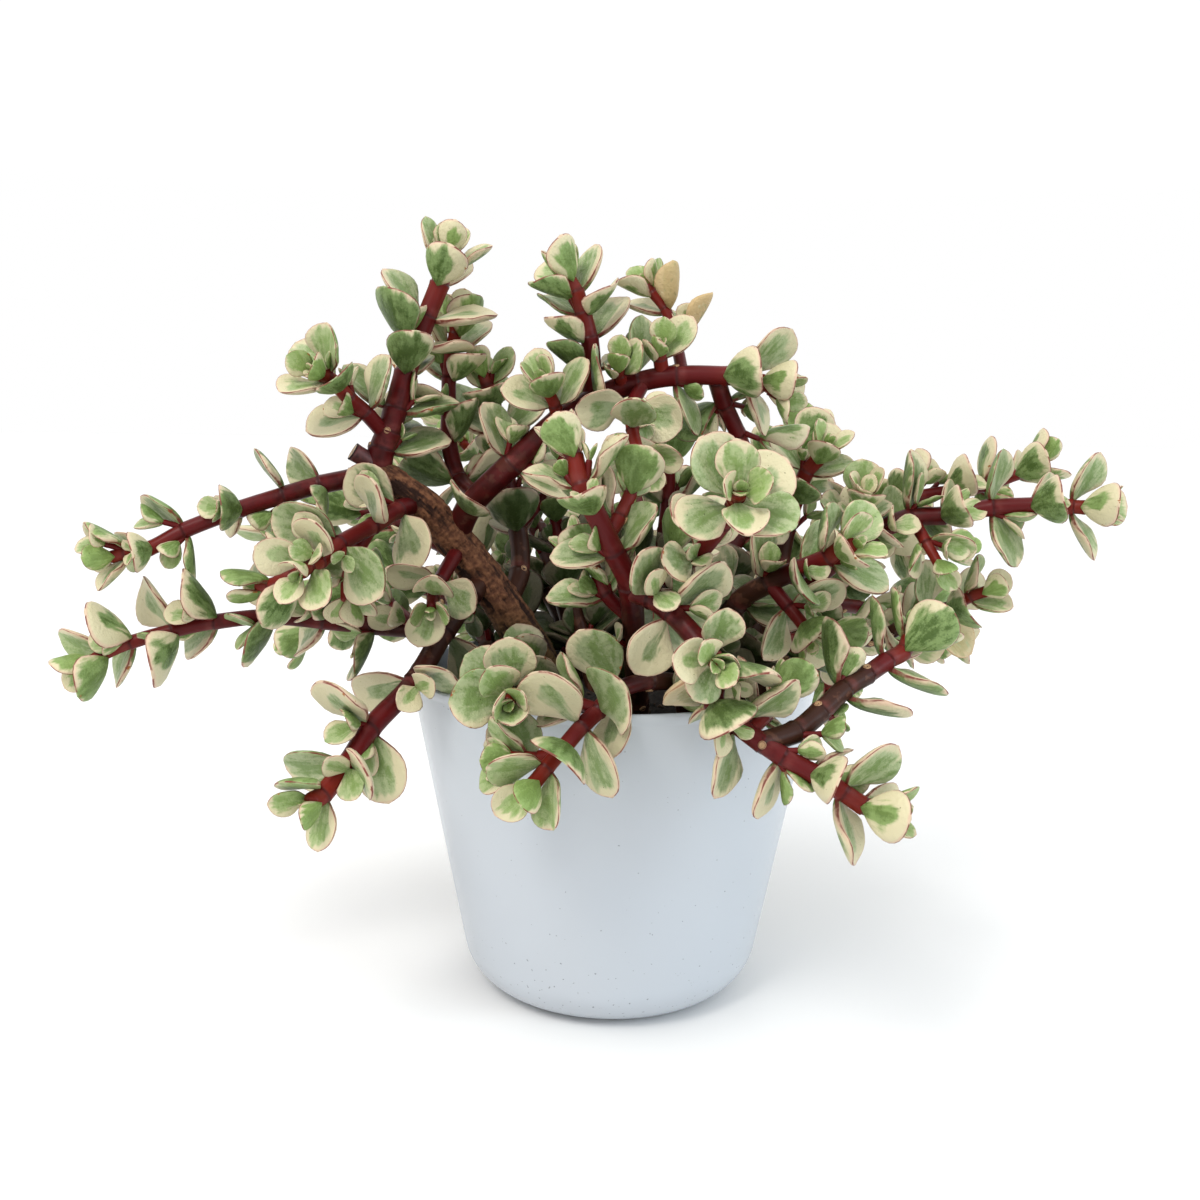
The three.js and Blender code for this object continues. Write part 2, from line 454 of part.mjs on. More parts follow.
// True where two convex sets are surely CLEARANCE apart: a walk to the nearest point of
// their difference stops at the first plane that parts them.
function apart(first, second) {
  const gap = first.centre.clone().sub(second.centre);
  for (let step = 0; step < 40; step++) {
    const length = gap.length();
    if (length < 1e-9) return false;
    const corner = lowest(first.points, gap).clone();
    corner.sub(lowest(second.points, gap.clone().negate()));
    if (corner.dot(gap) > CLEARANCE * length) return true;
    const edge = corner.clone().sub(gap);
    const share = -gap.dot(edge) / edge.lengthSq();
    if (!(share > 0)) return false;
    gap.addScaledVector(edge, Math.min(1, share));
  }
  return false;
}

const clears = (leaf, obstacle) =>
  leaf.centre.distanceTo(obstacle.centre) > leaf.reach + obstacle.reach + CLEARANCE ||
  apart(leaf, obstacle);

// The facet of a stem that faces a direction at a node.
function facetFacing(stem, node, direction) {
  const facet = 360 / STEM_SIDES;
  const faces = Array.from({ length: STEM_SIDES }, (_, k) =>
    turned(stem.corners[node], stem.along[node], facet * (k + 0.5)).dot(direction));
  return faces.indexOf(Math.max(...faces));
}

// One blade of a pair, bent by one of BENDS.
function shapeLeaf(stem, node, fromTip, side, draws, bend) {
  const [bendOpen, bendTurn, bendTwist, bendSize] = bend;
  const along = stem.along[node];
  const radius = stem.radii[node];
  const base = turned(sideways(along), along, stem.route[node][3]).multiplyScalar(side);
  const out = turned(base, along, draws.turn + bendTurn);
  const open = THREE.MathUtils.degToRad(
    PAIR_OPEN[Math.min(fromTip, PAIR_OPEN.length - 1)] + draws.open + bendOpen);
  const size = PAIR_SIZE[Math.min(fromTip, PAIR_SIZE.length - 1)] * (1 + draws.length) * bendSize;
  const pointing = along.clone().multiplyScalar(Math.cos(open))
    .addScaledVector(out, Math.sin(open))
    .addScaledVector(UP, LIFT)
    .normalize();
  const outward = stem.points[node].y < MIDDLE ? -1 : 1;
  const facing = along.clone().addScaledVector(pointing, -along.dot(pointing)).normalize()
    .addScaledVector(BACK, outward * stem.faceOut * (1 - Math.abs(pointing.y)))
    .addScaledVector(UP, FACE_UP);
  facing.addScaledVector(pointing, -facing.dot(pointing)).normalize();
  const facet = facetFacing(stem, node, base);
  const ends = ring(stem.points[node], along, stem.corners[node], radius, STEM_SIDES);
  const root = ends[facet].clone().lerp(ends[(facet + 1) % STEM_SIDES], 0.5);
  const heel = root.clone().addScaledVector(along, -ROOT_DEPTH * radius);
  const leaf = {
    node,
    facet,
    foot: [ends[facet], ends[(facet + 1) % STEM_SIDES], heel],
    stemRadius: radius,
    along: pointing,
    up: turned(facing, pointing, draws.twist + bendTwist),
    length: stem.leaf * size,
    width: stem.leaf * size * (BLADE_WIDTH + draws.width),
    root,
  };
  leaf.corners = bladePoints(leaf);
  return leaf;
}

// Every leaf of the plant, stem after stem. A blade that no bend clears is left out.
function growLeaves(stems, obstacles) {
  const leaves = [];
  stems.forEach((stem, index) => {
    const spread = seeded(FIRST_SEED + index * SEED_STEP);
    const last = stem.route.length - 1;
    stem.route.forEach((place, node) => {
      if (place.length < 4) return;
      for (const side of [1, -1]) {
        const draws = {};
        for (const [name, most] of Object.entries(SPREAD)) draws[name] = spread(most);
        for (const bend of BENDS) {
          const leaf = shapeLeaf(stem, node, last - node, side, draws, bend);
          const shape = hull([...leaf.foot, ...leaf.corners], { stem, node });
          const near = obstacles.filter((o) => !(o.stem === stem && Math.abs(o.node - node) <= o.skip));
          if (!near.every((o) => clears(shape, o))) continue;
          leaves.push({ ...leaf, stem });
          obstacles.push({ ...shape, skip: 0 });
          break;
        }
      }
    });
  });
  return leaves;
}

// ---------------------------------------------------------------- pot and soil
const wallRadius = (z) => BASE_RADIUS + ((RIM_RADIUS - BASE_RADIUS) * z) / POT_HEIGHT;

// The centre of the foot's round lies FOOT_ROUND above the ground and inside the sloping wall.
function footArc() {
  const slope = Math.atan((RIM_RADIUS - BASE_RADIUS) / POT_HEIGHT);
  const centreX = wallRadius(FOOT_ROUND) - FOOT_ROUND / Math.cos(slope);
  return Array.from({ length: FOOT_STEPS + 1 }, (_, i) => {
    const turn = -Math.PI / 2 + ((Math.PI / 2 - slope) * i) / FOOT_STEPS;
    return [centreX + FOOT_ROUND * Math.cos(turn), FOOT_ROUND + FOOT_ROUND * Math.sin(turn)];
  });
}

function pot() {
  const lip = POT_HEIGHT - LIP_HEIGHT;
  const bore = RIM_RADIUS - WALL;
  const [slopeWidth, slopeHeight] = FLOOR_ROUND;
  const profile = [
    [0, 0],
    ...footArc(),
    [wallRadius(lip - LIP_PROUD) - LIP_PROUD / 2, lip - LIP_PROUD],
    [wallRadius(lip), lip],
    [RIM_RADIUS, POT_HEIGHT - LIP_ROUND],
    [RIM_RADIUS - LIP_ROUND, POT_HEIGHT],
    [bore + LIP_ROUND / 2, POT_HEIGHT],
    [bore, POT_HEIGHT - LIP_ROUND],
    [wallRadius(FLOOR + slopeHeight) - WALL, FLOOR + slopeHeight],
    [wallRadius(FLOOR) - WALL - slopeWidth, FLOOR],
    [0, FLOOR],
  ];
  return new THREE.LatheGeometry(profile.map(([r, z]) => new THREE.Vector2(r, z)), POT_SIDES)
    .rotateX(Math.PI / 2);
}

// The soil's surface: low waves, long ones and short ones.
const soilHeight = (x, y) =>
  SOIL_TOP + SOIL_BUMP * (Math.sin(0.21 * x + 1.3) * Math.cos(0.17 * y) + 0.5 * Math.sin(0.43 * (x - y)));

// The soil fills the pot, a thin gap clear of its flat sides, floor and slope.
const insideRadius = (z) => (wallRadius(z) - WALL - 2 * GAP) * Math.cos(Math.PI / POT_SIDES) - GAP;

function soil() {
  const [slopeWidth, slopeHeight] = FLOOR_ROUND;
  const levels = [
    [insideRadius(FLOOR) - slopeWidth - 4 * GAP, FLOOR + GAP],
    [insideRadius(FLOOR + slopeHeight) - GAP, FLOOR + slopeHeight + 2 * GAP],
    [insideRadius(SOIL_TOP), SOIL_TOP - SOIL_EDGE],
  ];
  const vertices = [];
  for (const [radius, z] of levels)
    for (let k = 0; k < SOIL_SIDES; k++) {
      const turn = (2 * Math.PI * k) / SOIL_SIDES;
      vertices.push(new THREE.Vector3(radius * Math.cos(turn), radius * Math.sin(turn), z));
    }
  for (const share of SOIL_SHARES)
    for (let k = 0; k < SOIL_SIDES; k++) {
      const turn = (2 * Math.PI * k) / SOIL_SIDES;
      const [x, y] = [Math.cos(turn), Math.sin(turn)].map((c) => c * share * insideRadius(SOIL_TOP));
      vertices.push(new THREE.Vector3(x, y, soilHeight(x, y)));
    }
  const rings = levels.length + SOIL_SHARES.length;
  const foot = vertices.push(new THREE.Vector3(0, 0, FLOOR + GAP)) - 1;
  const crown = vertices.push(new THREE.Vector3(0, 0, soilHeight(0, 0))) - 1;
  const faces = [];
  for (let k = 0; k < SOIL_SIDES; k++) {
    const next = (k + 1) % SOIL_SIDES;
    faces.push([foot, next, k]);
    faces.push([crown, (rings - 1) * SOIL_SIDES + k, (rings - 1) * SOIL_SIDES + next]);
    for (let i = 0; i < rings - 1; i++) {
      const [a, b] = [i * SOIL_SIDES + k, i * SOIL_SIDES + next];
      faces.push([a, b, b + SOIL_SIDES], [a, b + SOIL_SIDES, a + SOIL_SIDES]);
    }
  }
  return toSolid(vertices, faces);
}

// What the blades keep clear of besides each other: the pot's wall in wedges, a slab of soil
// and the stems.
const WEDGES = 24;
const WEDGE_FOOT = 25;
const SLAB_DEPTH = 10;

const onCircle = (radius, k, z) => {
  const turn = (2 * Math.PI * k) / WEDGES;
  return new THREE.Vector3(radius * Math.cos(turn), radius * Math.sin(turn), z);
};

function wallPieces() {
  const pieces = [];
  for (let k = 0; k < WEDGES; k++) {
    const corners = [];
    for (const side of [k, k + 1])
      for (const z of [WEDGE_FOOT, POT_HEIGHT])
        for (const radius of [wallRadius(z) + 3 * GAP, wallRadius(z) - WALL - GAP])
          corners.push(onCircle(radius, side, z));
    pieces.push(hull(corners));
  }
  return pieces;
}

function soilPiece() {
  const corners = [];
  for (let k = 0; k < WEDGES; k++)
    for (const z of [SOIL_TOP - SLAB_DEPTH, SOIL_TOP + 2 * SOIL_BUMP])
      corners.push(onCircle(wallRadius(SOIL_TOP) - GAP, k, z));
  return hull(corners);
}

const stretches = (stem) =>
  stem.points.slice(1).map((_, i) =>
    hull([i, i + 1].flatMap((n) =>
      ring(stem.points[n], stem.along[n], stem.corners[n], stem.radii[n], STEM_SIDES)),
    { stem, node: i, skip: 1 }));

// ---------------------------------------------------------------- the plant
const stems = STEMS.map(measure);
const leaves = growLeaves(stems, [...wallPieces(), soilPiece(), ...stems.flatMap(stretches)]);

const group = new THREE.Group();
function add(name, geometry, material) {
  const mesh = new THREE.Mesh(geometry, material);
  mesh.name = name;
  group.add(mesh);
}

add("pot", pot(), GLAZE);

// Each planted stem stands in a plain hole. A stem's node holds its side shoots and its leaves,
// and is cut back to a thin gap from the stem it grows out of and from its elder neighbours there.
// Scraps that the cut leaves are dropped.
const largest = (solid) =>
  solid.decompose().reduce((a, b) => (b.volume() > a.volume() ? b : a));

let bed = soil();
const grown = new Map();
for (const stem of stems) {
  if (stem.partOf) continue;
  const family = stems.filter((s) => s === stem || s.partOf === stem.name);
  let solid = wasm.Manifold.union(family.map((s) => tube(s, leaves.filter((l) => l.stem === s))));
  if (stem.from === "soil") bed = bed.subtract(tube(stem, [], GAP));
  else
    for (const [name, elder] of grown)
      if (name === stem.from || elder.from === stem.from) solid = solid.subtract(elder.cutter);
  const cutter = wasm.Manifold.union(family.map((s) => tube(s, [], GAP)));
  grown.set(stem.name, { from: stem.from, cutter });
  add(stem.name, toGeometry(largest(solid)), stem.leaf ? FOLIAGE : BARK);
}
add("soil", toGeometry(bed), SOIL);

export default group;
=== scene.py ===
import itertools
import math
from types import SimpleNamespace

import bpy
import numpy as np
from mathutils import Matrix, Vector, noise


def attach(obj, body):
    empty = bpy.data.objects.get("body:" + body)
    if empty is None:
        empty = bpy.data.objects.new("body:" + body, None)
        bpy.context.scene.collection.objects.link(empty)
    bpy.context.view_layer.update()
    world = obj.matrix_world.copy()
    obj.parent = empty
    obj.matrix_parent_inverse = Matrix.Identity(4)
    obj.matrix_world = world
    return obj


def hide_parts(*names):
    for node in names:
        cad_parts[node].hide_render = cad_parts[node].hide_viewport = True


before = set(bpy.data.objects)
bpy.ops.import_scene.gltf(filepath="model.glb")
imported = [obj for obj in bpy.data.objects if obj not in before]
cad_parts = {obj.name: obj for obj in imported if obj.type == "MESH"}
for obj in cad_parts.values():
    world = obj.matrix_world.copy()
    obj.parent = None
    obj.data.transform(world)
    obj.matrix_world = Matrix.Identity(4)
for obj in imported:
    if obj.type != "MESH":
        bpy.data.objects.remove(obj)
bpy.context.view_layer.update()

MM = 0.001
UP = np.array([0.0, 0.0, 1.0])
BACK = np.array([0.0, 1.0, 0.0])
RIGHT = np.array([1.0, 0.0, 0.0])

# ---------------------------------------------------------------- the pot and its soil
POT_HEIGHT = 103
RIM_RADIUS = 65
BASE_RADIUS = 45
FOOT_ROUND = 17
WALL = 2.2
FLOOR = 4
FLOOR_SLOPE = (9, 8)  # width and height of the slope between floor and wall
LIP_HEIGHT = 2.6
LIP_PROUD = 0.5
LIP_ROUND = 0.7
SOIL_TOP = 92
SOIL_BUMP = 1.1
GAP = 0.3
WEDGES = 24  # convex pieces that stand for the pot's wall
WEDGE_FOOT = 25
SLAB_DEPTH = 10

# ---------------------------------------------------------------- how the plant grows
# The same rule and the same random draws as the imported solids, so each fine leaf lies where
# its plain blade does.
CLEARANCE = 0.35
TOUCHING = 1e-9
TRIES = 40  # steps in the search for a gap between two convex shapes
STEM_SIDES = 6
BLADE_EDGE = [(0.3, 0.66), (0.7, 0.98), (1, 0), (0.7, -0.98), (0.3, -0.66)]
BLADE_TOP = (0.46, 0.045)
BLADE_UNDER = (0.4, -0.105)
BLADE_WIDTH = 0.84
ROOT_DEPTH = 0.8
PAIR_OPEN = [26, 44, 58, 66, 70]  # from the tip down
PAIR_SIZE = [0.6, 0.86, 1, 1.06]
LIFT = 0.15
FACE_UP = 0.2
FACE_OUT = 0.55
FACE_OUT_OF = {"left_upper": 0.1, "left_lower": 0.1}  # stems whose leaves stand on edge
MIDDLE = 22  # leaves behind it face back
SPREAD = {"open": 8, "turn": 10, "twist": 14, "length": 0.09, "width": 0.09}
FIRST_SEED = 1009
SEED_STEP = 7919
PARK_MILLER = (16807, 2147483647)
WARM_UP = 3  # draws that aren't used
BENDS = [  # more opening, turn and twist, and a share of the length
    (0, 0, 0, 1), (10, 0, 0, 1), (-10, 0, 0, 1), (0, 16, 0, 1), (0, -16, 0, 1),
    (0, 0, 22, 1), (0, 0, -22, 1), (14, 14, 12, 0.92), (-14, -14, -12, 0.92),
    (14, -14, -12, 0.92), (-14, 14, 12, 0.92), (0, 28, 15, 0.85), (0, -28, -15, 0.85),
    (22, 0, 25, 0.8), (-20, 0, -25, 0.8), (10, 30, -25, 0.7), (10, -30, 25, 0.7),
    (-15, 40, 0, 0.6), (-15, -40, 0, 0.6),
]

# Each stem: its name, what it grows out of, its radius at foot and tip, its full leaf length,
# and its route. A route point is x y z, and a fourth number marks a leaf pair and turns it, in
# degrees, round the stem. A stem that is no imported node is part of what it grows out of.
STEMS = """
trunk soil 7.4 4.4 0: -14 5 78, -19 4 91, -27 2 108, -36 0 123, -48 -4 140, -59 -8 154, -69 -10 162,
   -74 -10 165;
cut_stub trunk 2.9 2.7 0: -73 -10 165, -77 -12 169, -80 -13 171;
left_upper trunk 3.3 1.8 14: -73 -10 165, -81 -13 163, -90 -16 161 50, -100 -20 158 0, -112 -25 154 90,
   -127 -30 148 0, -136 -34 143 90, -142 -37 142 0, -145 -38 141 90;
left_down trunk 3.7 2.6 17.2: -42 -3 131, -45 -9 127 148, -52 -20 117 163, -59 -36 105 58, -69 -52 95 148,
   -74 -61 87 58, -79 -69 81 148, -81 -72 80 58;
left_lower left_down 3.1 1.8 16: -51 -17 120, -60 -14 117, -75 -16 118 45, -89 -20 120 135,
   -104 -25 122 45, -119 -30 121 135, -130 -34 119 45, -141 -38 116 135, -148 -41 113 45,
   -151 -43 111 135;
left_lower_side left_lower 2 1.4 14.5: -59 -14 117, -69 -3 121, -76 4 127 0, -81 8 130 90;
upright_left trunk 4.3 2.7 16.5: -73 -10 166, -72 -10 172 20, -70 -9 177 90, -68 -8 184 0, -65 -6 195 90,
   -62 -4 204 45, -59 -3 212 0, -55 -2 222 90, -53 -2 228 0, -52 -2 231 90;
upright_left_side upright_left 2.5 2.2 16: -71 -9 176, -76 -15 183 8, -80 -19 187, -83 -22 191 98,
   -85 -26 193 8, -87 -29 194 98;
cluster_left trunk 3.1 1.9 16.6: -61 -8 155, -66 -17 154 20, -72 -28 150 110, -79 -40 146 20,
   -83 -49 142 110, -85 -54 141 20, -86 -57 140 110;
inner_left trunk 2.6 1.6 15: -49 -6 141, -53 -22 133 0, -54 -30 129 90, -54 -33 127 0;
arch trunk 4.3 2.3 16: -50 -4 145, -45 -8 155 90, -32 -11 168 0, -18 -13 181 90, -5 -15 189 70,
   6 -16 193 0, 17 -18 195 10, 32 -19 195 90, 39 -20 194 10, 43 -21 193 80, 45 -22 192 0;
arch_shoot_left arch 2.2 1.6 15.5: -18 -13 180, -19 -19 186 0, -21 -22 190 90, -22 -24 192 0;
arch_bud_left arch 2.2 1.6 14.5: 1 -16 192, 0 -20 195 10, 0 -22 197 80;
arch_bud_right arch 2.4 1.8 16: 13 -17 195, 12 -20 200 15, 12 -22 202 75;
arch_shoot_down arch 2.2 1.6 14.5: 7 -17 192, 4 -24 186 0, 4 -33 179 90, 6 -39 172 0, 7 -42 170 90;
upright_mid arch 3 1.9 15.9: -42 -8 157, -50 5 162 45, -54 10 174 135, -54 11 183 45, -54 12 194 135,
   -53 12 203 45, -52 12 208 135, -52 12 211 45;
arch_top_mid arch 3.1 2 15: -8 -14 187, -8 -14 197 20, -9 -15 206 45, -11 -16 213 130, -13 -17 219 40,
   -15 -17 222 110, -16 -17 224 20;
arch_top_right arch 2 1.4 14.5: 19 -18 195, 17 -8 206 155, 14 -5 215 135, 10 -4 220 45, 9 -4 222 135;
arch_down arch 3 1.8 15: 29 -18 194, 32 -12 187 20, 37 -6 178, 42 0 168 90, 47 5 157 0, 49 7 152 90;
upright_inner trunk 3.6 2 16: -35 0 122, -31 10 132, -32 16 145 90, -35 20 156 0, -37 20 167 90,
   -39 18 177 0, -40 16 186 90, -42 14 192 0, -43 14 195 90;
front_stem soil 3.7 2.3 14: 8 -13 78, 7 -26 98, 5 -50 121, 3 -66 139, -1 -70 148 0, -7 -73 160 90,
   -10 -73 166 0, -12 -71 173 90, -14 -70 176 0;
front_shoot front_stem 2.2 1.6 14: 4 -55 128, -3 -57 135 0, -7 -55 143 90, -11 -53 147 0;
front_trail front_stem 3 2.4 16: 4 -65 137, 9 -71 136 60, 14 -75 133 0, 21 -80 126, 25 -83 119 50,
   25 -84 111 90, 31 -86 106 0, 37 -88 102 90, 42 -89 99 0, 50 -91 95 90, 57 -93 91 0, 62 -94 88 90,
   67 -95 87 0;
front_trail_shoot front_trail 2.6 1.7 14.5: 22 -80 125, 24 -88 124 0, 24 -92 124 90, 24 -95 124 45;
front_trail_side front_trail 2.2 1.5 15: 33 -87 104, 38 -80 107 0, 42 -76 111 90, 43 -75 112 0;
front_rosette front_stem 2.7 1.9 15.5: 4 -60 133, 11 -60 140, 20 -68 147 90, 26 -80 157 60, 28 -87 162 45,
   28 -91 164 135, 28 -95 165 0, 28 -98 166 90;
front_fork front_trail 3.1 2.2 15.5: 36 -88 102, 46 -83 104, 53 -78 108, 60 -73 113 168, 67 -68 116,
   73 -64 119 168, 78 -61 121 78, 80 -59 124 168, 82 -57 125 78;
low_front soil 2.8 2 18.4: 22 -28 78, 19 -42 105, 9 -58 111, 0 -66 110 0, -5 -73 106 90, -9 -77 103 0,
   -14 -82 98 90, -18 -86 94 0, -21 -90 91 90;
low_front_side low_front 2 1.5 15.2: -14 -82 98, -20 -79 95, -24 -79 95 0, -27 -79 95 90;
low_rosette soil 2.8 1.8 15: -22 -22 78, -24 -34 104, -24 -46 104, -27 -56 108 70, -28 -67 109 0,
   -28 -73 109 90, -28 -77 110 30, -28 -80 110 120;
right_mid soil 3.8 2.2 15.5: 27 -8 78, 30 -18 112, 36 -30 129 8, 44 -37 136 8, 52 -43 141 98,
   59 -48 145 8, 62 -51 148 98, 64 -53 149 8;
upright_right soil 3.8 2.2 14.5: 47 3 78, 51 6 104, 52 10 120, 54 12 135, 56 13 147, 58 10 157 90,
   61 8 166 0, 64 6 170 90, 66 5 174 0;
right_long soil 4.2 2 16.7: 39 12 78, 45 20 103, 59 25 120, 77 14 141, 85 5 148 90, 94 3 152 0,
   104 1 153 90, 118 -2 156 0, 130 -5 157 90, 141 -8 157 0, 144 -10 157 90, 146 -11 157 0;
right_behind right_long 2.6 1.6 15: 66 21 128, 80 27 143, 93 28 154 73, 101 27 157 163, 112 27 159 73,
   124 26 161 163, 134 25 165 73, 138 24 167 163, 141 24 170 73;
right_low soil 3 1.8 15.5: 49 15 78, 56 16 104, 69 24 113, 88 27 108, 98 22 114 90, 105 17 119 0,
   111 13 122 90, 116 9 126 0, 120 7 128 90;
inner_back_left soil 3 1.9 17: -3 14 78, -8 18 99, -10 20 108 0, -15 24 124 90, -18 26 138 0,
   -20 26 148 90, -21 26 155 0;
inner_mid soil 3.4 2 17.5: 14 16 78, 14 23 101, 14 28 114 20, 16 32 134 110, 18 34 154 20, 18 34 167 110,
   17 34 173 20;
inner_right soil 3 1.8 17: 36 -4 78, 40 -5 99, 43 -5 107 70, 54 -5 113 160, 66 -2 113 70, 74 0 110 160;
back_left soil 4 2.2 18: -24 30 78, -32 40 106, -40 48 116 90, -52 59 127 0, -66 70 135 90, -81 82 141 0,
   -97 92 143 90, -112 100 142 0, -126 107 138 90, -136 112 134 0;
back_left_low soil 3.4 2 17.5: -36 20 78, -43 27 105, -52 37 115 0, -65 48 120 90, -79 58 119 0,
   -93 67 115 90, -105 75 108 0, -115 81 100 90, -122 86 92 0;
back_mid_left soil 4.2 2.2 18: -6 34 78, -15 43 110, -20 51 124 0, -28 63 141 90, -38 76 155 0,
   -48 89 165 90, -57 101 173 0, -64 111 178 90, -69 119 180 0;
back_mid soil 4.4 2.3 18: 10 30 78, 9 42 112, 10 52 127 30, 11 67 144 120, 12 82 157 30, 14 95 168 120,
   14 105 175 30, 15 112 180 120;
back_mid_right soil 4.2 2.2 18: 25 30 78, 29 40 110, 35 50 123 90, 45 63 138 0, 55 75 150 90, 64 86 160 0,
   71 96 168 90, 76 104 173 0, 79 110 176 90;
back_right soil 4 2.2 18: 36 26 78, 43 37 106, 52 44 115 0, 66 54 125 90, 81 65 132 0, 96 76 136 90,
   111 87 137 0, 126 97 134 90, 138 105 130 0;
back_right_low soil 3.4 2 17.5: 47 25 78, 51 30 105, 62 40 113 90, 76 50 116 0, 90 60 114 90,
   104 69 110 0, 115 75 104 90, 124 80 97 0;
rear_mid soil 4 2.2 17.5: 10 49 78, 11 52 103, 12 64 119 0, 13 81 124 90, 15 98 118 0, 17 114 104 90,
   18 126 87 0, 19 134 71 90, 19 138 61 0;
rear_left soil 3.8 2.1 17.5: -12 46 78, -16 50 103, -24 61 118 90, -34 78 122 0, -42 94 116 90,
   -48 108 103 0, -52 119 86 90, -54 126 70 0, -55 129 61 90;
rear_right soil 3.8 2.1 17.5: 34 41 78, 36 44 104, 46 56 120 90, 60 74 122 0, 72 90 117 90, 82 104 105 0,
   88 114 88 90, 92 121 72 0, 94 124 63 90;
upright_inner_side upright_inner 2.2 1.6 15: -32 16 146, -25 21 154 0, -20 25 162 90, -18 27 168 0;
front_side front_stem 2.2 1.6 14.5: -3 -70 152, 0 -67 157 0, 3 -63 163 90, 4 -61 167 0;
right_mid_inner right_mid 2.4 1.6 15: 31 -20 115, 24 -25 123 0, 20 -29 132 90, 18 -31 137 0;
cluster_left_low cluster_left 2.2 1.6 15.5: -72 -28 150, -77 -30 141 45, -79 -32 134 135, -79 -33 129 45;
cluster_left_out cluster_left 2.2 1.6 15.5: -83 -47 143, -91 -44 138 45, -99 -40 134 135, -103 -38 133 45;
right_long_up right_long 2.4 1.6 15: 77 14 141, 77 4 150 0, 77 -2 157 90, 77 -4 160 0;
right_long_down right_long 2.2 1.6 15: 94 3 152, 97 -5 145 0, 100 -9 139 90;
right_mid_low right_mid 2.2 1.6 15.5: 44 -37 136, 49 -44 130 0, 53 -48 125 90, 54 -50 122 0;
low_front_inner low_front 2 1.5 15: -4 -72 106, -10 -72 108 0, -15 -70 109 90;
back_left_side back_left 2.4 1.6 17: -66 70 135, -68 62 145 0, -72 58 154 90, -74 56 160 0;
back_right_side back_right 2.4 1.6 17: 81 65 132, 84 56 142 90, 86 50 151 0, 87 47 157 90;
back_mid_left_side back_mid_left 2.4 1.6 17: -38 76 155, -46 70 162 0, -52 64 168 90, -55 61 172 0;
back_mid_right_side back_mid_right 2.4 1.6 17: 55 75 150, 48 84 156 90, 45 91 160 0, 44 96 161 90;
rear_mid_side rear_mid 2.4 1.6 17: 13 81 124, 2 88 130 0, -6 94 134 90, -10 97 136 0;
inner_mid_side inner_mid 2.4 1.6 17: 15 30 124, 6 33 131 0, 0 36 138 90, -3 38 144 0"""


# ---------------------------------------------------------------- vectors
END_ON = 0.35  # a direction this close to BACK is end-on in the front view


def unit(v):
    return v / math.sqrt(v @ v)


def cross(a, b):
    return np.array([
        a[1] * b[2] - a[2] * b[1], a[2] * b[0] - a[0] * b[2], a[0] * b[1] - a[1] * b[0]])


def turned(v, axis, degrees):
    turn = math.radians(degrees)
    across = cross(axis, v)
    return v * math.cos(turn) + across * math.sin(turn) + axis * ((axis @ v) * (1 - math.cos(turn)))


def square_to(v, axis):
    """The direction of v without its part along axis."""
    return unit(v - axis * (axis @ v))


def leaning(axis, out, degrees, lift=0.0):
    """A direction that leans from axis towards out, and a little up."""
    turn = math.radians(degrees)
    return unit(axis * math.cos(turn) + out * math.sin(turn) + UP * lift)


def sideways(along):
    side = cross(along, BACK)
    end_on = math.sqrt(side @ side) < END_ON
    return unit(cross(along, RIGHT) if end_on else side)


def lengths(rows):
    return np.sqrt((rows ** 2).sum(axis=-1))


def smooth(low, high, x):
    share = np.clip((x - low) / (high - low), 0, 1)
    return share * share * (3 - 2 * share)


def bell(x, width):
    return np.exp(-((x / width) ** 2))


def circle(count):
    """Evenly spaced turns all the way round, in radians."""
    return [2 * math.pi * k / count for k in range(count)]


def on_circle(radius, turn, z):
    return (radius * math.cos(turn), radius * math.sin(turn), z)


# ---------------------------------------------------------------- growth
def facets(corner, along, turn=0):
    """Where the facets of a stem look, for a corner that is turned about it."""
    return [turned(corner, along, turn + 360 / STEM_SIDES * (k + 0.5)) for k in range(STEM_SIDES)]


class Stem:
    def __init__(self, name, origin, foot, tip, leaf, route):
        self.name = name
        self.origin = origin
        self.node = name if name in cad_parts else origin
        self.leaf = leaf
        self.face_out = FACE_OUT_OF.get(name, FACE_OUT)
        self.turns = [place[3] if len(place) > 3 else None for place in route]
        self.points = [np.array(place[:3]) for place in route]
        last = len(route) - 1
        self.along = [
            unit(self.points[min(i + 1, last)] - self.points[max(i - 1, 0)])
            for i in range(last + 1)]
        self.radii = [foot + ((tip - foot) * i) / last for i in range(last + 1)]
        self.corners = []
        corner = sideways(self.along[0])
        for along, turn in zip(self.along, self.turns):
            corner = square_to(corner, along)
            if turn is not None:
                choices = facets(sideways(along), along, turn)
                corner = choices[int(np.argmax([c @ corner for c in choices]))]
            self.corners.append(corner)

    def ring(self, i):
        corner, other = self.corners[i], cross(self.along[i], self.corners[i])
        return [
            self.points[i] + (corner * math.cos(t) + other * math.sin(t)) * self.radii[i]
            for t in circle(STEM_SIDES)]


def read_stems(table):
    stems = []
    for row in table.split(";"):
        head, route = row.split(":")
        name, origin, *sizes = head.split()
        places = [[float(number) for number in place.split()] for place in route.split(",")]
        stems.append(Stem(name, origin, *[float(size) for size in sizes], places))
    return stems


def leaf_at(stem, node, root, along, up, length=0.0, width=BLADE_WIDTH, from_tip=1):
    """A blade's place: its root, where it points (along) and where its upper side looks (up)."""
    return SimpleNamespace(
        stem=stem, node=node, root=root, along=along, up=up, length=length, width=length * width,
        from_tip=from_tip, side=None, centre=stem.points[node])


def seeded(seed):
    """Park and Miller's random numbers: a function that draws from -spread to spread."""
    factor, modulus = PARK_MILLER
    state = seed

    def draw():
        nonlocal state
        state = state * factor % modulus
        return state / modulus

    for _ in range(WARM_UP):
        draw()
    return lambda spread: (2 * draw() - 1) * spread


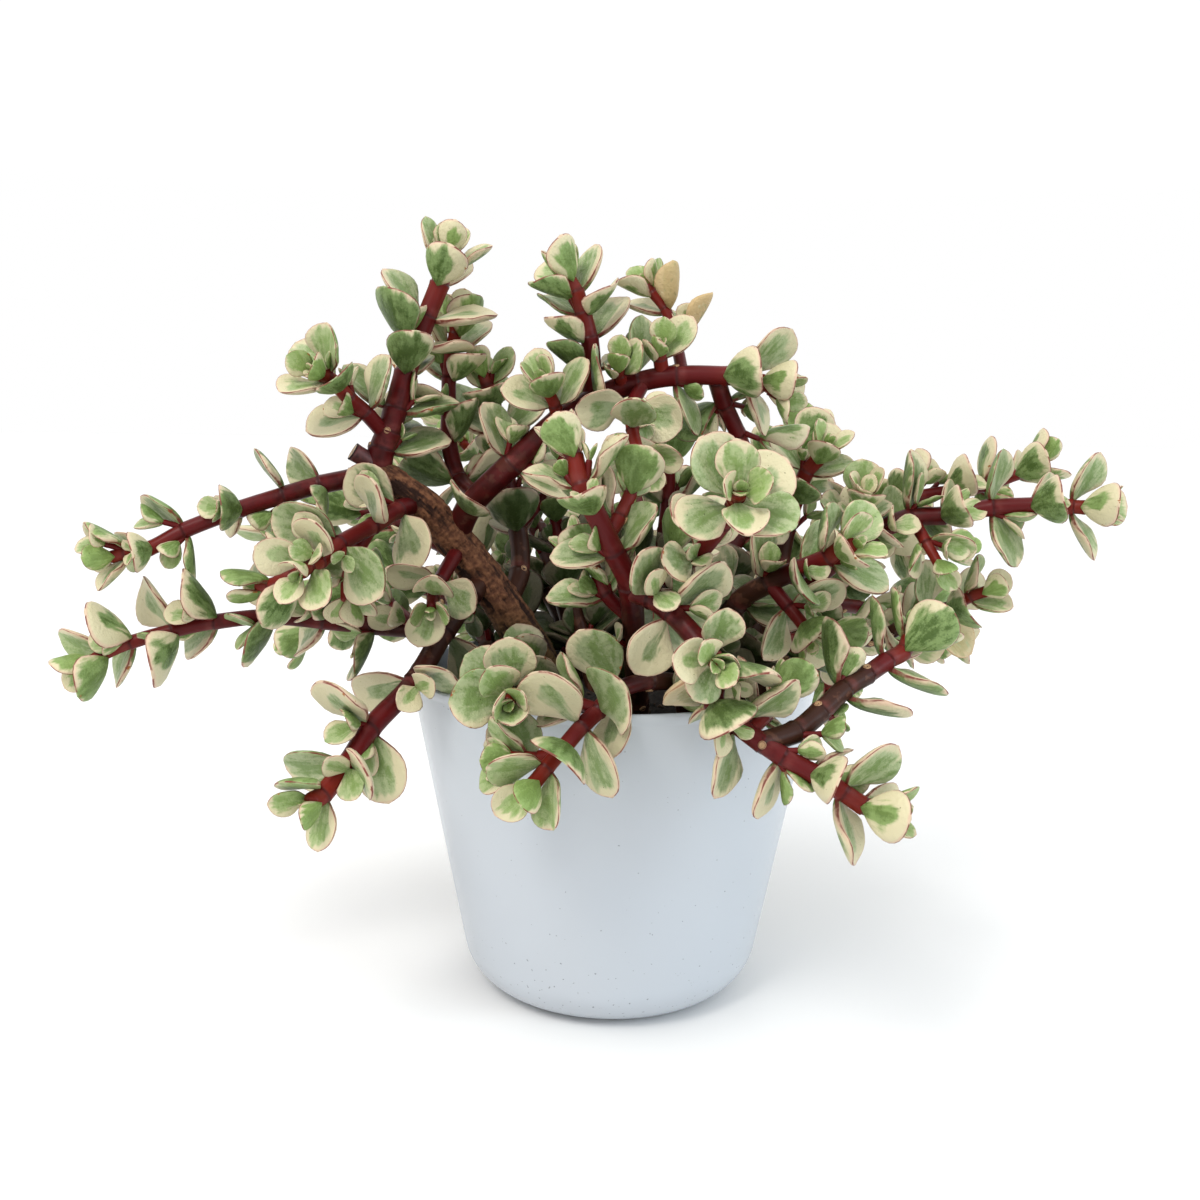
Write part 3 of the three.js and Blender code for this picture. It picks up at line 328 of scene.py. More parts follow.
def hull(points, stem=None, node=0, skip=0):
    """A convex obstacle. Leaves of the same stem up to skip nodes away don't see it."""
    points = np.array(points)
    centre = points.mean(axis=0)
    reach = lengths(points - centre).max()
    return SimpleNamespace(points=points, centre=centre, reach=reach, stem=stem, node=node, skip=skip)


def apart(first, second):
    """True where two convex sets are surely CLEARANCE apart."""
    gap = first.centre - second.centre
    for _ in range(TRIES):
        length = math.sqrt(gap @ gap)
        if length < TOUCHING:
            return False
        near = first.points[(first.points @ gap).argmin()]
        far = second.points[(second.points @ gap).argmax()]
        corner = near - far
        if corner @ gap > CLEARANCE * length:
            return True
        edge = corner - gap
        share = -(gap @ edge) / (edge @ edge)
        if not share > 0:
            return False
        gap = gap + edge * min(1, share)
    return False


def clears(leaf, obstacle):
    away = leaf.centre - obstacle.centre
    far = math.sqrt(away @ away) > leaf.reach + obstacle.reach + CLEARANCE
    return far or apart(leaf, obstacle)


def at_pair(values, from_tip):
    return values[min(from_tip, len(values) - 1)]


def shape_leaf(stem, node, side, draws, bend):
    """Where one blade of a pair lies, bent by one of BENDS."""
    bend_open, bend_turn, bend_twist, bend_size = bend
    from_tip = len(stem.points) - 1 - node
    along = stem.along[node]
    base = turned(sideways(along), along, stem.turns[node]) * side
    out = turned(base, along, draws["turn"] + bend_turn)
    opened = at_pair(PAIR_OPEN, from_tip) + draws["open"] + bend_open
    size = at_pair(PAIR_SIZE, from_tip) * (1 + draws["length"]) * bend_size
    pointing = leaning(along, out, opened, LIFT)
    outward = -1 if stem.points[node][1] < MIDDLE else 1
    facing = square_to(along, pointing)
    facing = facing + BACK * (outward * stem.face_out * (1 - abs(pointing[1]))) + UP * FACE_UP
    facing = turned(square_to(facing, pointing), pointing, draws["twist"] + bend_twist)
    k = int(np.argmax([facet @ base for facet in facets(stem.corners[node], along)]))
    ring = stem.ring(node)
    ends = [ring[k], ring[(k + 1) % STEM_SIDES]]
    root = (ends[0] + ends[1]) / 2
    width = BLADE_WIDTH + draws["width"]
    leaf = leaf_at(stem, node, root, pointing, facing, stem.leaf * size, width, from_tip)
    leaf.side = side
    leaf.foot = ends + [root - along * (ROOT_DEPTH * stem.radii[node])]
    return leaf


def blade_points(leaf):
    across = cross(leaf.along, leaf.up)

    def at(share, side, height):
        flat = leaf.along * (share * leaf.length) + across * (side * leaf.width / 2)
        return leaf.root + flat + leaf.up * (height * leaf.length)

    edge = [at(share, side, 0) for share, side in BLADE_EDGE]
    return edge + [at(share, 0, height) for share, height in (BLADE_TOP, BLADE_UNDER)]


def wall_radius(z):
    return BASE_RADIUS + ((RIM_RADIUS - BASE_RADIUS) * z) / POT_HEIGHT


def pot_obstacles():
    pieces = []
    for k in range(WEDGES):
        pieces.append(hull([
            on_circle(radius, 2 * math.pi * side / WEDGES, z)
            for side in (k, k + 1)
            for z in (WEDGE_FOOT, POT_HEIGHT)
            for radius in (wall_radius(z) + 3 * GAP, wall_radius(z) - WALL - GAP)]))
    pieces.append(hull([
        on_circle(wall_radius(SOIL_TOP) - GAP, turn, z)
        for turn in circle(WEDGES)
        for z in (SOIL_TOP - SLAB_DEPTH, SOIL_TOP + 2 * SOIL_BUMP)]))
    return pieces


def not_beside(obstacles, stem, node):
    return [o for o in obstacles if not (o.stem is stem and abs(o.node - node) <= o.skip)]


def grow(stems):
    """Every leaf of the plant, stem after stem. A blade that no bend clears is left out, and
    its place is kept in gaps."""
    obstacles = pot_obstacles()
    for stem in stems:
        for i in range(len(stem.points) - 1):
            obstacles.append(hull(stem.ring(i) + stem.ring(i + 1), stem, i, 1))
    leaves, gaps = [], []
    for index, stem in enumerate(stems):
        spread = seeded(FIRST_SEED + index * SEED_STEP)
        pairs = [node for node, turn in enumerate(stem.turns) if turn is not None]
        for node, side in itertools.product(pairs, (1, -1)):
            draws = {name: spread(most) for name, most in SPREAD.items()}
            near = not_beside(obstacles, stem, node)
            for bend in BENDS:
                leaf = shape_leaf(stem, node, side, draws, bend)
                shape = hull(leaf.foot + blade_points(leaf), stem, node)
                if all(clears(shape, o) for o in near):
                    leaves.append(leaf)
                    obstacles.append(shape)
                    break
            else:
                gaps.append(shape_leaf(stem, node, side, draws, BENDS[0]))
    return leaves, gaps, obstacles


SPROUT_SEED = 77
SPROUT_SHARE = 0.6  # of the leaf axils
BARE_SHARE = 0.75  # of the bare joints' two sides
BARE_ABOVE = 5  # how far over the soil a bare joint can sprout
LOW_STEP = 6  # how far apart shoots can be on the low part of a stem
LONG_JOINT = 11  # a joint this long at the back can sprout halfway
BETWEEN_SHARE = 0.8
SPROUT_RADIUS = 0.95
SPROUT_AXIS = (0.65, 0.8, 0.15, 0.6)  # how much the leaf, the stem, upright and chance count
SPROUT_START = (0.6, 0.4)  # along the stem, and back from the leaf
SPROUT_LENGTH = (1.6, 4.2)  # the least, and what chance adds
SPROUT_OPEN = (26, 22)
SPROUT_FACE_UP = 0.1
BARE_TURN = 25  # degrees round the stem
LOW_TURN = -20
BETWEEN_TURN = 45
UNLIKE = 0.16  # how much the two leaves of a shoot can differ in length
AXIL_SIZES = (0.56, 0.44, 0.34)
BARE_SIZES = (0.95, 0.8, 0.65, 0.5, 0.36)


def sprout_at(leaf, draws, size):
    """A short shoot in a leaf's axil: where it starts, its head and its pair of small leaves."""
    stem, along = leaf.stem, leaf.stem.along[leaf.node]
    across = cross(leaf.along, leaf.up)
    ways = (leaf.along, along, UP, across * (draws[1] - 0.5))
    axis = unit(sum(way * share for way, share in zip(ways, SPROUT_AXIS)))
    start = leaf.root + along * SPROUT_START[0] - leaf.along * SPROUT_START[1]
    head = start + axis * (SPROUT_LENGTH[0] + SPROUT_LENGTH[1] * draws[2])
    side = turned(square_to(across, axis), axis, 90 * draws[3])
    unlike = UNLIKE * (draws[5] - 0.5)
    pair = []
    for sign in (1, -1):
        pointing = leaning(axis, side * sign, SPROUT_OPEN[0] + SPROUT_OPEN[1] * draws[4])
        facing = unit(axis - pointing * (axis @ pointing) + UP * SPROUT_FACE_UP)
        length = stem.leaf * size * (1 + unlike * sign)
        pair.append(leaf_at(stem, leaf.node, head, pointing, square_to(facing, pointing), length))
    return SimpleNamespace(stem=stem, start=start, head=head, leaves=pair)


def leafless(stem, node, centre, along, turn):
    """A plain stand-in for a leaf on either side of a stem, at centre."""
    side = turned(sideways(along), along, turn)
    pair = [
        leaf_at(stem, node, centre + out * stem.radii[node], out, square_to(along, out))
        for out in (side, -side)]
    for leaf in pair:
        leaf.centre = centre
    return pair


def bare_joints(stems):
    """Stand-ins for leaves at each joint that bears none and along each stem's low part."""
    places = []
    for stem in stems:
        if stem.node == "trunk":
            continue
        for i in range(1, len(stem.points) - 1):
            if stem.turns[i] is None and stem.points[i][2] > SOIL_TOP + BARE_ABOVE:
                places += leafless(stem, i, stem.points[i], stem.along[i], 90 * (i % 2) + BARE_TURN)
        if stem.origin == "soil":
            low = curve_through(stem.points[:2], stem.along[:2], LOW_STEP)
            for k, (centre, along) in enumerate(zip(low[0][:-1], low[1])):
                if centre[2] > SOIL_TOP + BARE_ABOVE:
                    places += leafless(stem, 0, centre, along, 90 * (k % 2) + LOW_TURN)
    return places


def between_joints(stems):
    """Stand-ins halfway along the long joints of the stems at the back."""
    places = []
    for stem in stems:
        for i in range(1, len(stem.points) - 1):
            span = math.dist(stem.points[i], stem.points[i + 1])
            if stem.node != "trunk" and span > LONG_JOINT and stem.points[i][1] > MIDDLE:
                half = curve_through(stem.points[i:i + 2], stem.along[i:i + 2], span / 2)
                places += leafless(stem, i, half[0][1], half[1][1], 90 * (i % 2) + BETWEEN_TURN)
    return places


def grow_sprouts(stems, leaves, gaps, obstacles):
    """Short shoots in the leaf axils, on bare joints and where a full leaf had no room, where
    they clear the rest. Also gives the bare places that are left."""
    random = np.random.default_rng(SPROUT_SEED)
    sprouts, bare = [], []
    wanted = [(leaf, BARE_SHARE, BARE_SIZES) for leaf in bare_joints(stems)]
    wanted += [(leaf, 1, AXIL_SIZES) for leaf in gaps]
    wanted += [(leaf, SPROUT_SHARE, AXIL_SIZES) for leaf in leaves if leaf.from_tip > 0]
    wanted += [(leaf, BETWEEN_SHARE, BARE_SIZES) for leaf in between_joints(stems)]
    for leaf, share, sizes in wanted:
        draws = random.uniform(0, 1, 6)
        if draws[0] > share:
            if sizes is BARE_SIZES:
                bare.append(leaf)
            continue
        near = not_beside(obstacles, leaf.stem, leaf.node)
        for size in sizes:
            sprout = sprout_at(leaf, draws, size)
            shapes = [
                hull([sprout.start, sprout.head] + blade_points(small), leaf.stem, leaf.node)
                for small in sprout.leaves]
            if all(clears(shape, o) for shape in shapes for o in near):
                sprouts.append(sprout)
                obstacles += shapes
                break
        else:
            if share != SPROUT_SHARE:
                bare.append(leaf)
    return sprouts, bare


# ---------------------------------------------------------------- mesh objects
class Parts:
    """Gathers the points, faces and per-point values of the parts of one piece."""

    def __init__(self):
        self.points = []
        self.faces = []
        self.columns = {}

    def add(self, points, faces, **columns):
        start = sum(len(rows) for rows in self.points)
        self.points.append(points)
        self.faces += [tuple(start + i for i in face) for face in faces]
        for label, column in columns.items():
            self.columns.setdefault(label, []).append(column)
        return self


def add_object(name, data):
    made = bpy.data.objects.new(name, data)
    bpy.context.scene.collection.objects.link(made)
    return made


def make_piece(name, parts, material, slot, *nodes):
    """A smooth-shaded piece, in metres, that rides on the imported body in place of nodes. The
    column uv becomes its UV map, and the others become attributes of its points, which are
    colours where they have four numbers each."""
    mesh = bpy.data.meshes.new(name)
    mesh.from_pydata((np.concatenate(parts.points) * MM).tolist(), [], parts.faces)
    mesh.polygons.foreach_set("use_smooth", [True] * len(mesh.polygons))
    for label, column in parts.columns.items():
        rows = np.concatenate(column).astype(np.float32)
        if label == "uv":
            corner = np.empty(len(mesh.loops), dtype=np.int32)
            mesh.loops.foreach_get("vertex_index", corner)
            mesh.uv_layers.new(name="UVMap").data.foreach_set("uv", rows[corner].ravel())
        elif rows.ndim == 2:
            colours = mesh.attributes.new(label, "FLOAT_COLOR", "POINT")
            colours.data.foreach_set("color", rows.ravel())
        else:
            mesh.attributes.new(label, "FLOAT", "POINT").data.foreach_set("value", rows)
    mesh.materials.append(material)
    piece = add_object(name, mesh)
    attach(piece, "root")
    if nodes:
        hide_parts(*nodes)


# ---------------------------------------------------------------- tubes and turned shapes
def closed_faces(rings, around):
    """The faces of a closed tube of rings of points, with a middle point for either end."""
    top = (rings - 1) * around
    faces = []
    for k in range(around):
        n = (k + 1) % around
        faces.append((top + around, n, k))
        faces.append((top + around + 1, top + k, top + n))
        faces += [(a + k, a + n, a + around + n, a + around + k) for a in range(0, top, around)]
    return faces


def curve_through(points, tangents, step, edge=0.0):
    """Samples of a smooth curve through points: place, direction, and share of the route. With
    edge, two more samples lie so far after each point and before the next."""
    places, directions, shares = [], [], []
    for i in range(len(points) - 1):
        start, end = points[i], points[i + 1]
        span = math.sqrt((end - start) @ (end - start))
        count = max(2, round(span / step))
        m0, m1 = tangents[i] * span, tangents[i + 1] * span
        marks = [k / count for k in range(count + (i == len(points) - 2))]
        if edge:
            marks = sorted(marks + [edge / span, 1 - 2 * edge / span])
        for t in marks:
            places.append(
                start * (2 * t**3 - 3 * t**2 + 1) + m0 * (t**3 - 2 * t**2 + t)
                + end * (3 * t**2 - 2 * t**3) + m1 * (t**3 - t**2))
            directions.append(unit(
                start * (6 * t**2 - 6 * t) + m0 * (3 * t**2 - 4 * t + 1)
                + end * (6 * t - 6 * t**2) + m1 * (3 * t**2 - 2 * t)))
            shares.append(i + t)
    return np.array(places), np.array(directions), np.array(shares)


def tapered(stem, shares):
    """A stem's radius at each of the shares of its route that curve_through gives."""
    foot, tip = stem.radii[0], stem.radii[-1]
    return foot + (tip - foot) * shares / (len(stem.points) - 1)


def run_along(places):
    """How far along a curve each of its samples lies."""
    return np.append(0, np.cumsum(lengths(places[1:] - places[:-1])))


def tube(places, directions, radii, around, ripple=1.0):
    """Points and faces of a closed tube. ripple scales the radius, ring by ring and round it."""
    sides = []
    side = sideways(directions[0])
    for direction in directions:
        side = square_to(side, direction)
        sides.append(side)
    sides = np.array(sides)
    others = np.cross(directions, sides)
    turns = np.array(circle(around))
    reach = radii[:, None] * ripple * np.ones(around)
    rings = places[:, None] + sides[:, None] * (reach * np.cos(turns))[..., None]
    rings = rings + others[:, None] * (reach * np.sin(turns))[..., None]
    points = np.concatenate([rings.reshape(-1, 3), places[:1], places[-1:]])
    return points, closed_faces(len(places), around)


def per_point(rings, around):
    """A value for each point of a tube from one for each ring."""
    return np.append(np.repeat(rings, around), [rings[0], rings[-1]])


def tube_uv(shares, run):
    """For each point of a tube, its share of the way round and its centimetres along it."""
    across = np.append(np.tile(shares, len(run)), [0.5, 0.5])
    return np.stack([across, per_point(run, len(shares)) / 10], axis=1)


def lathe(profile, around, centre=(0, 0, 0), axes=np.eye(3)):
    """Points and faces of a closed outline turned about an axis, on which it starts and ends."""
    points = [on_circle(r, turn, z) for r, z in profile[1:-1] for turn in circle(around)]
    points += [(0, 0, profile[0][1]), (0, 0, profile[-1][1])]
    return np.array(points) @ axes + centre, closed_faces(len(profile) - 2, around)


def per_place(values, around):
    """A value for each point of a turned shape from one for each place of its outline."""
    return np.append(np.repeat(values[1:-1], around), [values[0], values[-1]])


def axes_about(out):
    side = sideways(out)
    return np.array([side, cross(out, side), out])


# ---------------------------------------------------------------- red stems
STEM_STEP = 1.1
STEM_AROUND = 14
TIP_RINGS = 4
TIP_RISE = 0.7  # a tip's height as a share of its radius
TIP_STEP = 0.3
TIP_SHORT = 0.4  # how far from its very end a tip's last ring stays, in rings
SLIM = 0.94  # a joint's width at its foot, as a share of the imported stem's
WIDEN = 0.07  # how much wider it is at its upper end
WIDEN_POWER = 1.5
COLLAR = 0.05  # how far its very end flares
COLLAR_WIDTH = 0.9
JOINT_EDGE = 0.25  # height of the step between two joints
YOUNG_OVER = 60  # how far down its fresh tip a stem turns maroon
SHADE_HEART = (0, 5, 95)  # the middle of the bush, near which the stems are older and browner, and darker with painted shade
OLD_AND_SHADED_WITHIN = (42, 92)  # distances from there where a stem is fully old and shaded, and not at all
WOODY = {  # stems that are brown early: distances from the tip where that starts and is complete
    "front_fork": (9, 30), "right_low": (4, 26), "right_mid": (5, 34), "upright_right": (16, 45),
    "inner_right": (10, 50), "inner_mid": (10, 50)}
DUST_AT = 1.6  # the middle of the pale band above each joint
DUST_WIDTH = 1.3


def fine_stem(wood, stem):
    """One stem as a smooth jointed tube with a domed tip."""
    places, directions, shares = curve_through(stem.points, stem.along, STEM_STEP, JOINT_EDGE)
    spans = np.array([math.dist(a, b) for a, b in zip(stem.points, stem.points[1:])])
    index = np.minimum(shares.astype(int), len(spans) - 1)
    within = shares - index
    above = within * spans[index]
    below = (1 - within) * spans[index]
    swell = SLIM + WIDEN * within**WIDEN_POWER + COLLAR * bell(below, COLLAR_WIDTH)
    swell = np.where((above < JOINT_EDGE / 2) & (shares > 0), SLIM + WIDEN + COLLAR, swell)
    radii = tapered(stem, shares) * swell
    line = np.append(bell(above - JOINT_EDGE, 2 * JOINT_EDGE), np.zeros(TIP_RINGS))
    dust = np.append(bell(above - DUST_AT, DUST_WIDTH), np.zeros(TIP_RINGS))
    run = run_along(places)
    run = np.append(run, run[-1] + TIP_STEP * np.arange(1, TIP_RINGS + 1))
    angles = [math.pi / 2 * k / (TIP_RINGS + TIP_SHORT) for k in range(1, TIP_RINGS + 1)]
    dome = stem.along[-1] * radii[-1] * TIP_RISE
    places = np.vstack([places] + [stem.points[-1] + dome * math.sin(angle) for angle in angles])
    directions = np.vstack([directions] + [stem.along[-1]] * TIP_RINGS)
    radii = np.append(radii, [radii[-1] * math.cos(angle) for angle in angles])
    from_heart = lengths(places - SHADE_HEART)
    # age: older away from the tip, plus painted shade that makes the stems darker and browner near the
    # middle of the bush
    age = 0.5 * smooth(0, YOUNG_OVER, run[-1] - run) + 0.5 * (1 - smooth(*OLD_AND_SHADED_WITHIN, from_heart))
    if stem.name in WOODY:
        age = np.maximum(age, smooth(*WOODY[stem.name], run[-1] - run))
    points, faces = tube(places, directions, radii, STEM_AROUND)
    wood.add(
        points, faces, uv=tube_uv(np.arange(STEM_AROUND) / STEM_AROUND, run),
        age=per_point(age, STEM_AROUND), line=per_point(line, STEM_AROUND),
        dust=per_point(dust, STEM_AROUND))


# ---------------------------------------------------------------- leaves
SUNK = 1.0  # how far a leaf's foot lies inside its stem
POINTED = 1.02  # how far the tip stands out of the rounded outline
BROADEST = 0.6  # where a leaf is broadest, as a share of its length
FOOT_POWER = 1.2  # above 1 gives a narrower foot
TOP_RISE = 0.035
UNDER_FALL = 0.13
RIM_POWER = 0.72  # below 1 gives a blunt rim
THICK_POWER = 0.8
THICK_FOOT = 1.12
THINNER = 0.4  # how much thickness a leaf loses from foot to tip
RIM_POINTS = 160
BENT_OVER = (0.05, 0.5)  # shares of the length over which a leaf's cup and fold set in
FOLD_SOFT = 0.02
FOLD_LEVEL = 0.14
CURL_FROM = 0.1
WAVES = 9
LEAF_FORM = {  # the least and the most of each way in which leaves differ
    "plump": (0.85, 1.2), "cup": (0.02, 0.24), "fold": (0.0, 0.3), "curl": (-0.1, 0.09),
    "wave": (0.0, 0.03), "phase": (0, 6.3), "sway": (-0.05, 0.05), "uneven": (-0.1, 0.1),
    "full": (0.98, 1.14)}


def outline_width(t):
    """How broad a leaf is at a share of its length: a wedge at the foot and round at the tip."""
    wedge = np.sin(np.pi / 2 * np.clip(t / BROADEST, 0, 1)) ** FOOT_POWER
    past = np.clip((t - BROADEST) / (1 - BROADEST), 0, 1)
    return wedge * np.sqrt(1 - past**2)


class Blade:
    """The plain shape that every leaf is bent from: for each point its share of the length t,
    its lateral place y from -1 to 1, its height over or under the middle (lens), and its
    distance from the rim (edge), from 0 to 1."""

    def __init__(self, rows, around):
        stations = (1 - np.cos(np.pi * np.arange(1, rows + 1) / (rows + 1))) / 2
        turns = np.array(circle(around))
        thick = (2 * np.sqrt(stations * (1 - stations))) ** THICK_POWER * (THICK_FOOT - THINNER * stations)
        below = np.where(np.sin(turns) < -1e-6, 1.0, 0.0)
        self.t = np.append(np.repeat(stations, around), [0, POINTED])
        self.y = np.append(np.outer(outline_width(stations), np.cos(turns)), [0, 0])
        self.lens = np.append(np.outer(thick, np.abs(np.sin(turns)) ** RIM_POWER), [0, 0])
        self.under = np.append(np.tile(below, rows), [0, 0])
        self.faces = [face[:1] + face[:0:-1] for face in closed_faces(rows, around)]
        rim_t = (1 - np.cos(np.linspace(0, np.pi, RIM_POINTS))) / 2
        rim_y = outline_width(rim_t) * (BLADE_WIDTH / 2)
        rim = np.concatenate([np.stack([rim_t, rim_y], 1), np.stack([rim_t, -rim_y], 1)])
        flat = np.stack([self.t, self.y * (BLADE_WIDTH / 2)], 1)
        away = lengths(flat[:, None, :] - rim).min(axis=1)
        self.edge = away / away.max()


FINE_BLADE = Blade(13, 18)
SMALL_BLADE = Blade(9, 12)


def bend_blade(blade, leaf, form):
    """The points of one leaf: the plain blade cupped, folded, curled and waved by form."""
    length = leaf.length + SUNK
    half = leaf.width / 2 * form.full
    t, y = blade.t, blade.y
    rise = np.where(blade.under > 0.5, -UNDER_FALL, TOP_RISE) * blade.lens * length * form.plump
    bent = smooth(*BENT_OVER, t)
    rise = rise + form.cup * half * y**2 * bent
    rise = rise + form.fold * half * (np.sqrt(y**2 + FOLD_SOFT) - FOLD_LEVEL) * bent
    rise = rise + form.curl * length * np.clip(t - CURL_FROM, 0, 1) ** 2
    rise = rise + form.wave * length * np.sin(WAVES * t + form.phase) * y * np.abs(y)
    lateral = y * half * (1 + form.uneven * np.sign(y)) + form.sway * length * t**2
    start = leaf.root - leaf.along * SUNK
    return (
        start + np.outer(t * length, leaf.along)
        + np.outer(lateral, cross(leaf.along, leaf.up)) + np.outer(rise, leaf.up))


# leaves that turn yellow, by stem, number of the pair's route point and side: how far they are
YELLOWING = {
    ("arch_top_right", 1, 1): 2, ("arch_top_right", 2, 1): 1.8, ("front_trail", 4, -1): 1.68,
    ("right_low", 5, -1): 1.72}
SHADE_CENTRE = (0, 12, 112)  # leaves near here are darkened with painted shade
SHADE_REACH = (88, 78, 62)
SHADE_EASE = 0.55
OLD_PAIR = 6  # a pair this far from the tip is fully grown


def painted_shade_of(leaf):
    """How much painted shade a leaf gets: 0 on the outside of the bush to 1 deep inside it."""
    away = (leaf.root - SHADE_CENTRE) / SHADE_REACH
    return smooth(0, SHADE_EASE, 1 - math.sqrt(away @ away))


def fine_leaf(blades, leaf, random, blade=FINE_BLADE):
    form = {label: random.uniform(*limits) for label, limits in LEAF_FORM.items()}
    points = bend_blade(blade, leaf, SimpleNamespace(**form))
    chance = random.uniform(0, 1, 4)
    chance[2] = YELLOWING.get((leaf.stem.name, leaf.node, leaf.side), chance[2])
    chance[3] = min(1.0, leaf.from_tip / OLD_PAIR)
    # shade: painted shade, which darkens the leaves deep inside the bush
    blades.add(
        points, blade.faces, uv=np.stack([0.5 + blade.y / 2, blade.t], axis=1), edge=blade.edge,
        under=blade.under, shade=np.full(len(points), painted_shade_of(leaf)),
        chance=np.tile(chance, (len(points), 1)))


BUD_LENGTH = 4.2
BUD_OPEN = 24
BUD_RISE = 0.35  # how far over the last point a bud starts, as a share of the stem's radius


def bud_leaves(stem):
    """The two small leaves that are still closed over a stem's tip."""
    along = stem.along[-1]
    start = stem.points[-1] + along * stem.radii[-1] * BUD_RISE
    last_turn = next((turn for turn in reversed(stem.turns) if turn is not None), 0)
    side = turned(sideways(along), along, last_turn + 90)
    return [
        leaf_at(stem, -1, start, way, square_to(along, way), BUD_LENGTH, from_tip=0)
        for way in (leaning(along, side, BUD_OPEN), leaning(along, -side, BUD_OPEN))]


# ---------------------------------------------------------------- materials
def srgb(*parts):
    """A colour from its usual three numbers, as the shader takes it."""
    shares = [part / 255 for part in parts]
    return (*[s / 12.92 if s <= 0.04045 else ((s + 0.055) / 1.055) ** 2.4 for s in shares], 1.0)


def feed(socket, value):
    if isinstance(value, Value):
        socket.id_data.links.new(value.socket, socket)
    else:
        socket.default_value = value


def add_node(tree, kind, inputs=(), output=0, **settings):
    """Adds a node and gives one of its outputs. inputs are pairs of a socket and its value."""
    node = tree.nodes.new("ShaderNode" + kind)
    for label, setting in settings.items():
        setattr(node, label, setting)
    for label, value in inputs:
        feed(node.inputs[label], value)
    return Value(node.outputs[output])


def arithmetic(operation):
    """A method of Value that adds a maths node."""
    return lambda self, *other: self.node("Math", *other, operation=operation)


class Value:
    """A node's output, which makes more nodes when it is calculated with."""

    def __init__(self, socket):
        self.socket = socket

    def node(self, kind, *values, **settings):
        return add_node(self.socket.id_data, kind, enumerate((self, *values)), **settings)

    __add__ = arithmetic("ADD")
    __sub__ = arithmetic("SUBTRACT")
    __mul__ = arithmetic("MULTIPLY")
    __truediv__ = arithmetic("DIVIDE")
    __pow__ = arithmetic("POWER")
    __abs__ = arithmetic("ABSOLUTE")

    def ease(self, low, high):
        """0 where the value is low to 1 where it is high."""
        return self.node("MapRange", low, high, interpolation_type="SMOOTHSTEP")

    def mix(self, first, second):
        """The colour first where the value is 0, and second where it is 1."""
        inputs = ((0, self), (6, first), (7, second))
        return add_node(self.socket.id_data, "Mix", inputs, 2, data_type="RGBA")

    def noise(self, scale, detail=2.0):
        inputs = (("Vector", self), ("Scale", scale), ("Detail", detail))
        return add_node(self.socket.id_data, "TexNoise", inputs)

    def part(self, index):
        return self.node("SeparateXYZ", output=index)


class Paint:
    """A node material in the making."""

    def __init__(self, name, **settings):
        self.material = bpy.data.materials.new(name)
        self.material.use_nodes = True
        self.tree = self.material.node_tree
        self.shader = self.tree.nodes["Principled BSDF"]
        for label, value in settings.items():
            self.shader.inputs[label.replace("_", " ")].default_value = value

    def vector(self, x, y, z):
        return add_node(self.tree, "CombineXYZ", enumerate((x, y, z)))

    def place(self):
        """Where the surface point lies on the object, in metres."""
        return add_node(self.tree, "TexCoord", output="Object")

    def noise(self, scale, detail=2.0):
        return self.place().noise(scale, detail)

    def uv(self):
        uv = add_node(self.tree, "TexCoord", output="UV")
        return uv.part(0), uv.part(1)

    def value(self, name, output="Fac"):
        return add_node(self.tree, "Attribute", output=output, attribute_name=name)

    def colour(self, value):
        feed(self.shader.inputs["Base Color"], value)

    def bump(self, height, strength, distance):
        inputs = (("Strength", strength), ("Distance", distance), ("Height", height))
        feed(self.shader.inputs["Normal"], add_node(self.tree, "Bump", inputs))


LEAF_PALE = srgb(160, 171, 130)
LEAF_MID = srgb(116, 138, 83)
LEAF_DEEP = srgb(70, 92, 42)
LEAF_UNDER = srgb(119, 141, 87)
# the dark colour of the painted shade on leaves deep inside the bush
LEAF_PAINTED_SHADE = srgb(24, 30, 7)
LEAF_OLD = srgb(66, 74, 40)
LEAF_FRESH = srgb(138, 162, 90)
CREAM = srgb(198, 190, 156)
CREAM_PINK = srgb(200, 173, 149)
RIM_RED = srgb(116, 60, 50)
YELLOW = srgb(184, 158, 114)
NIBBLE = srgb(150, 92, 46)
SPECK = srgb(60, 66, 34)


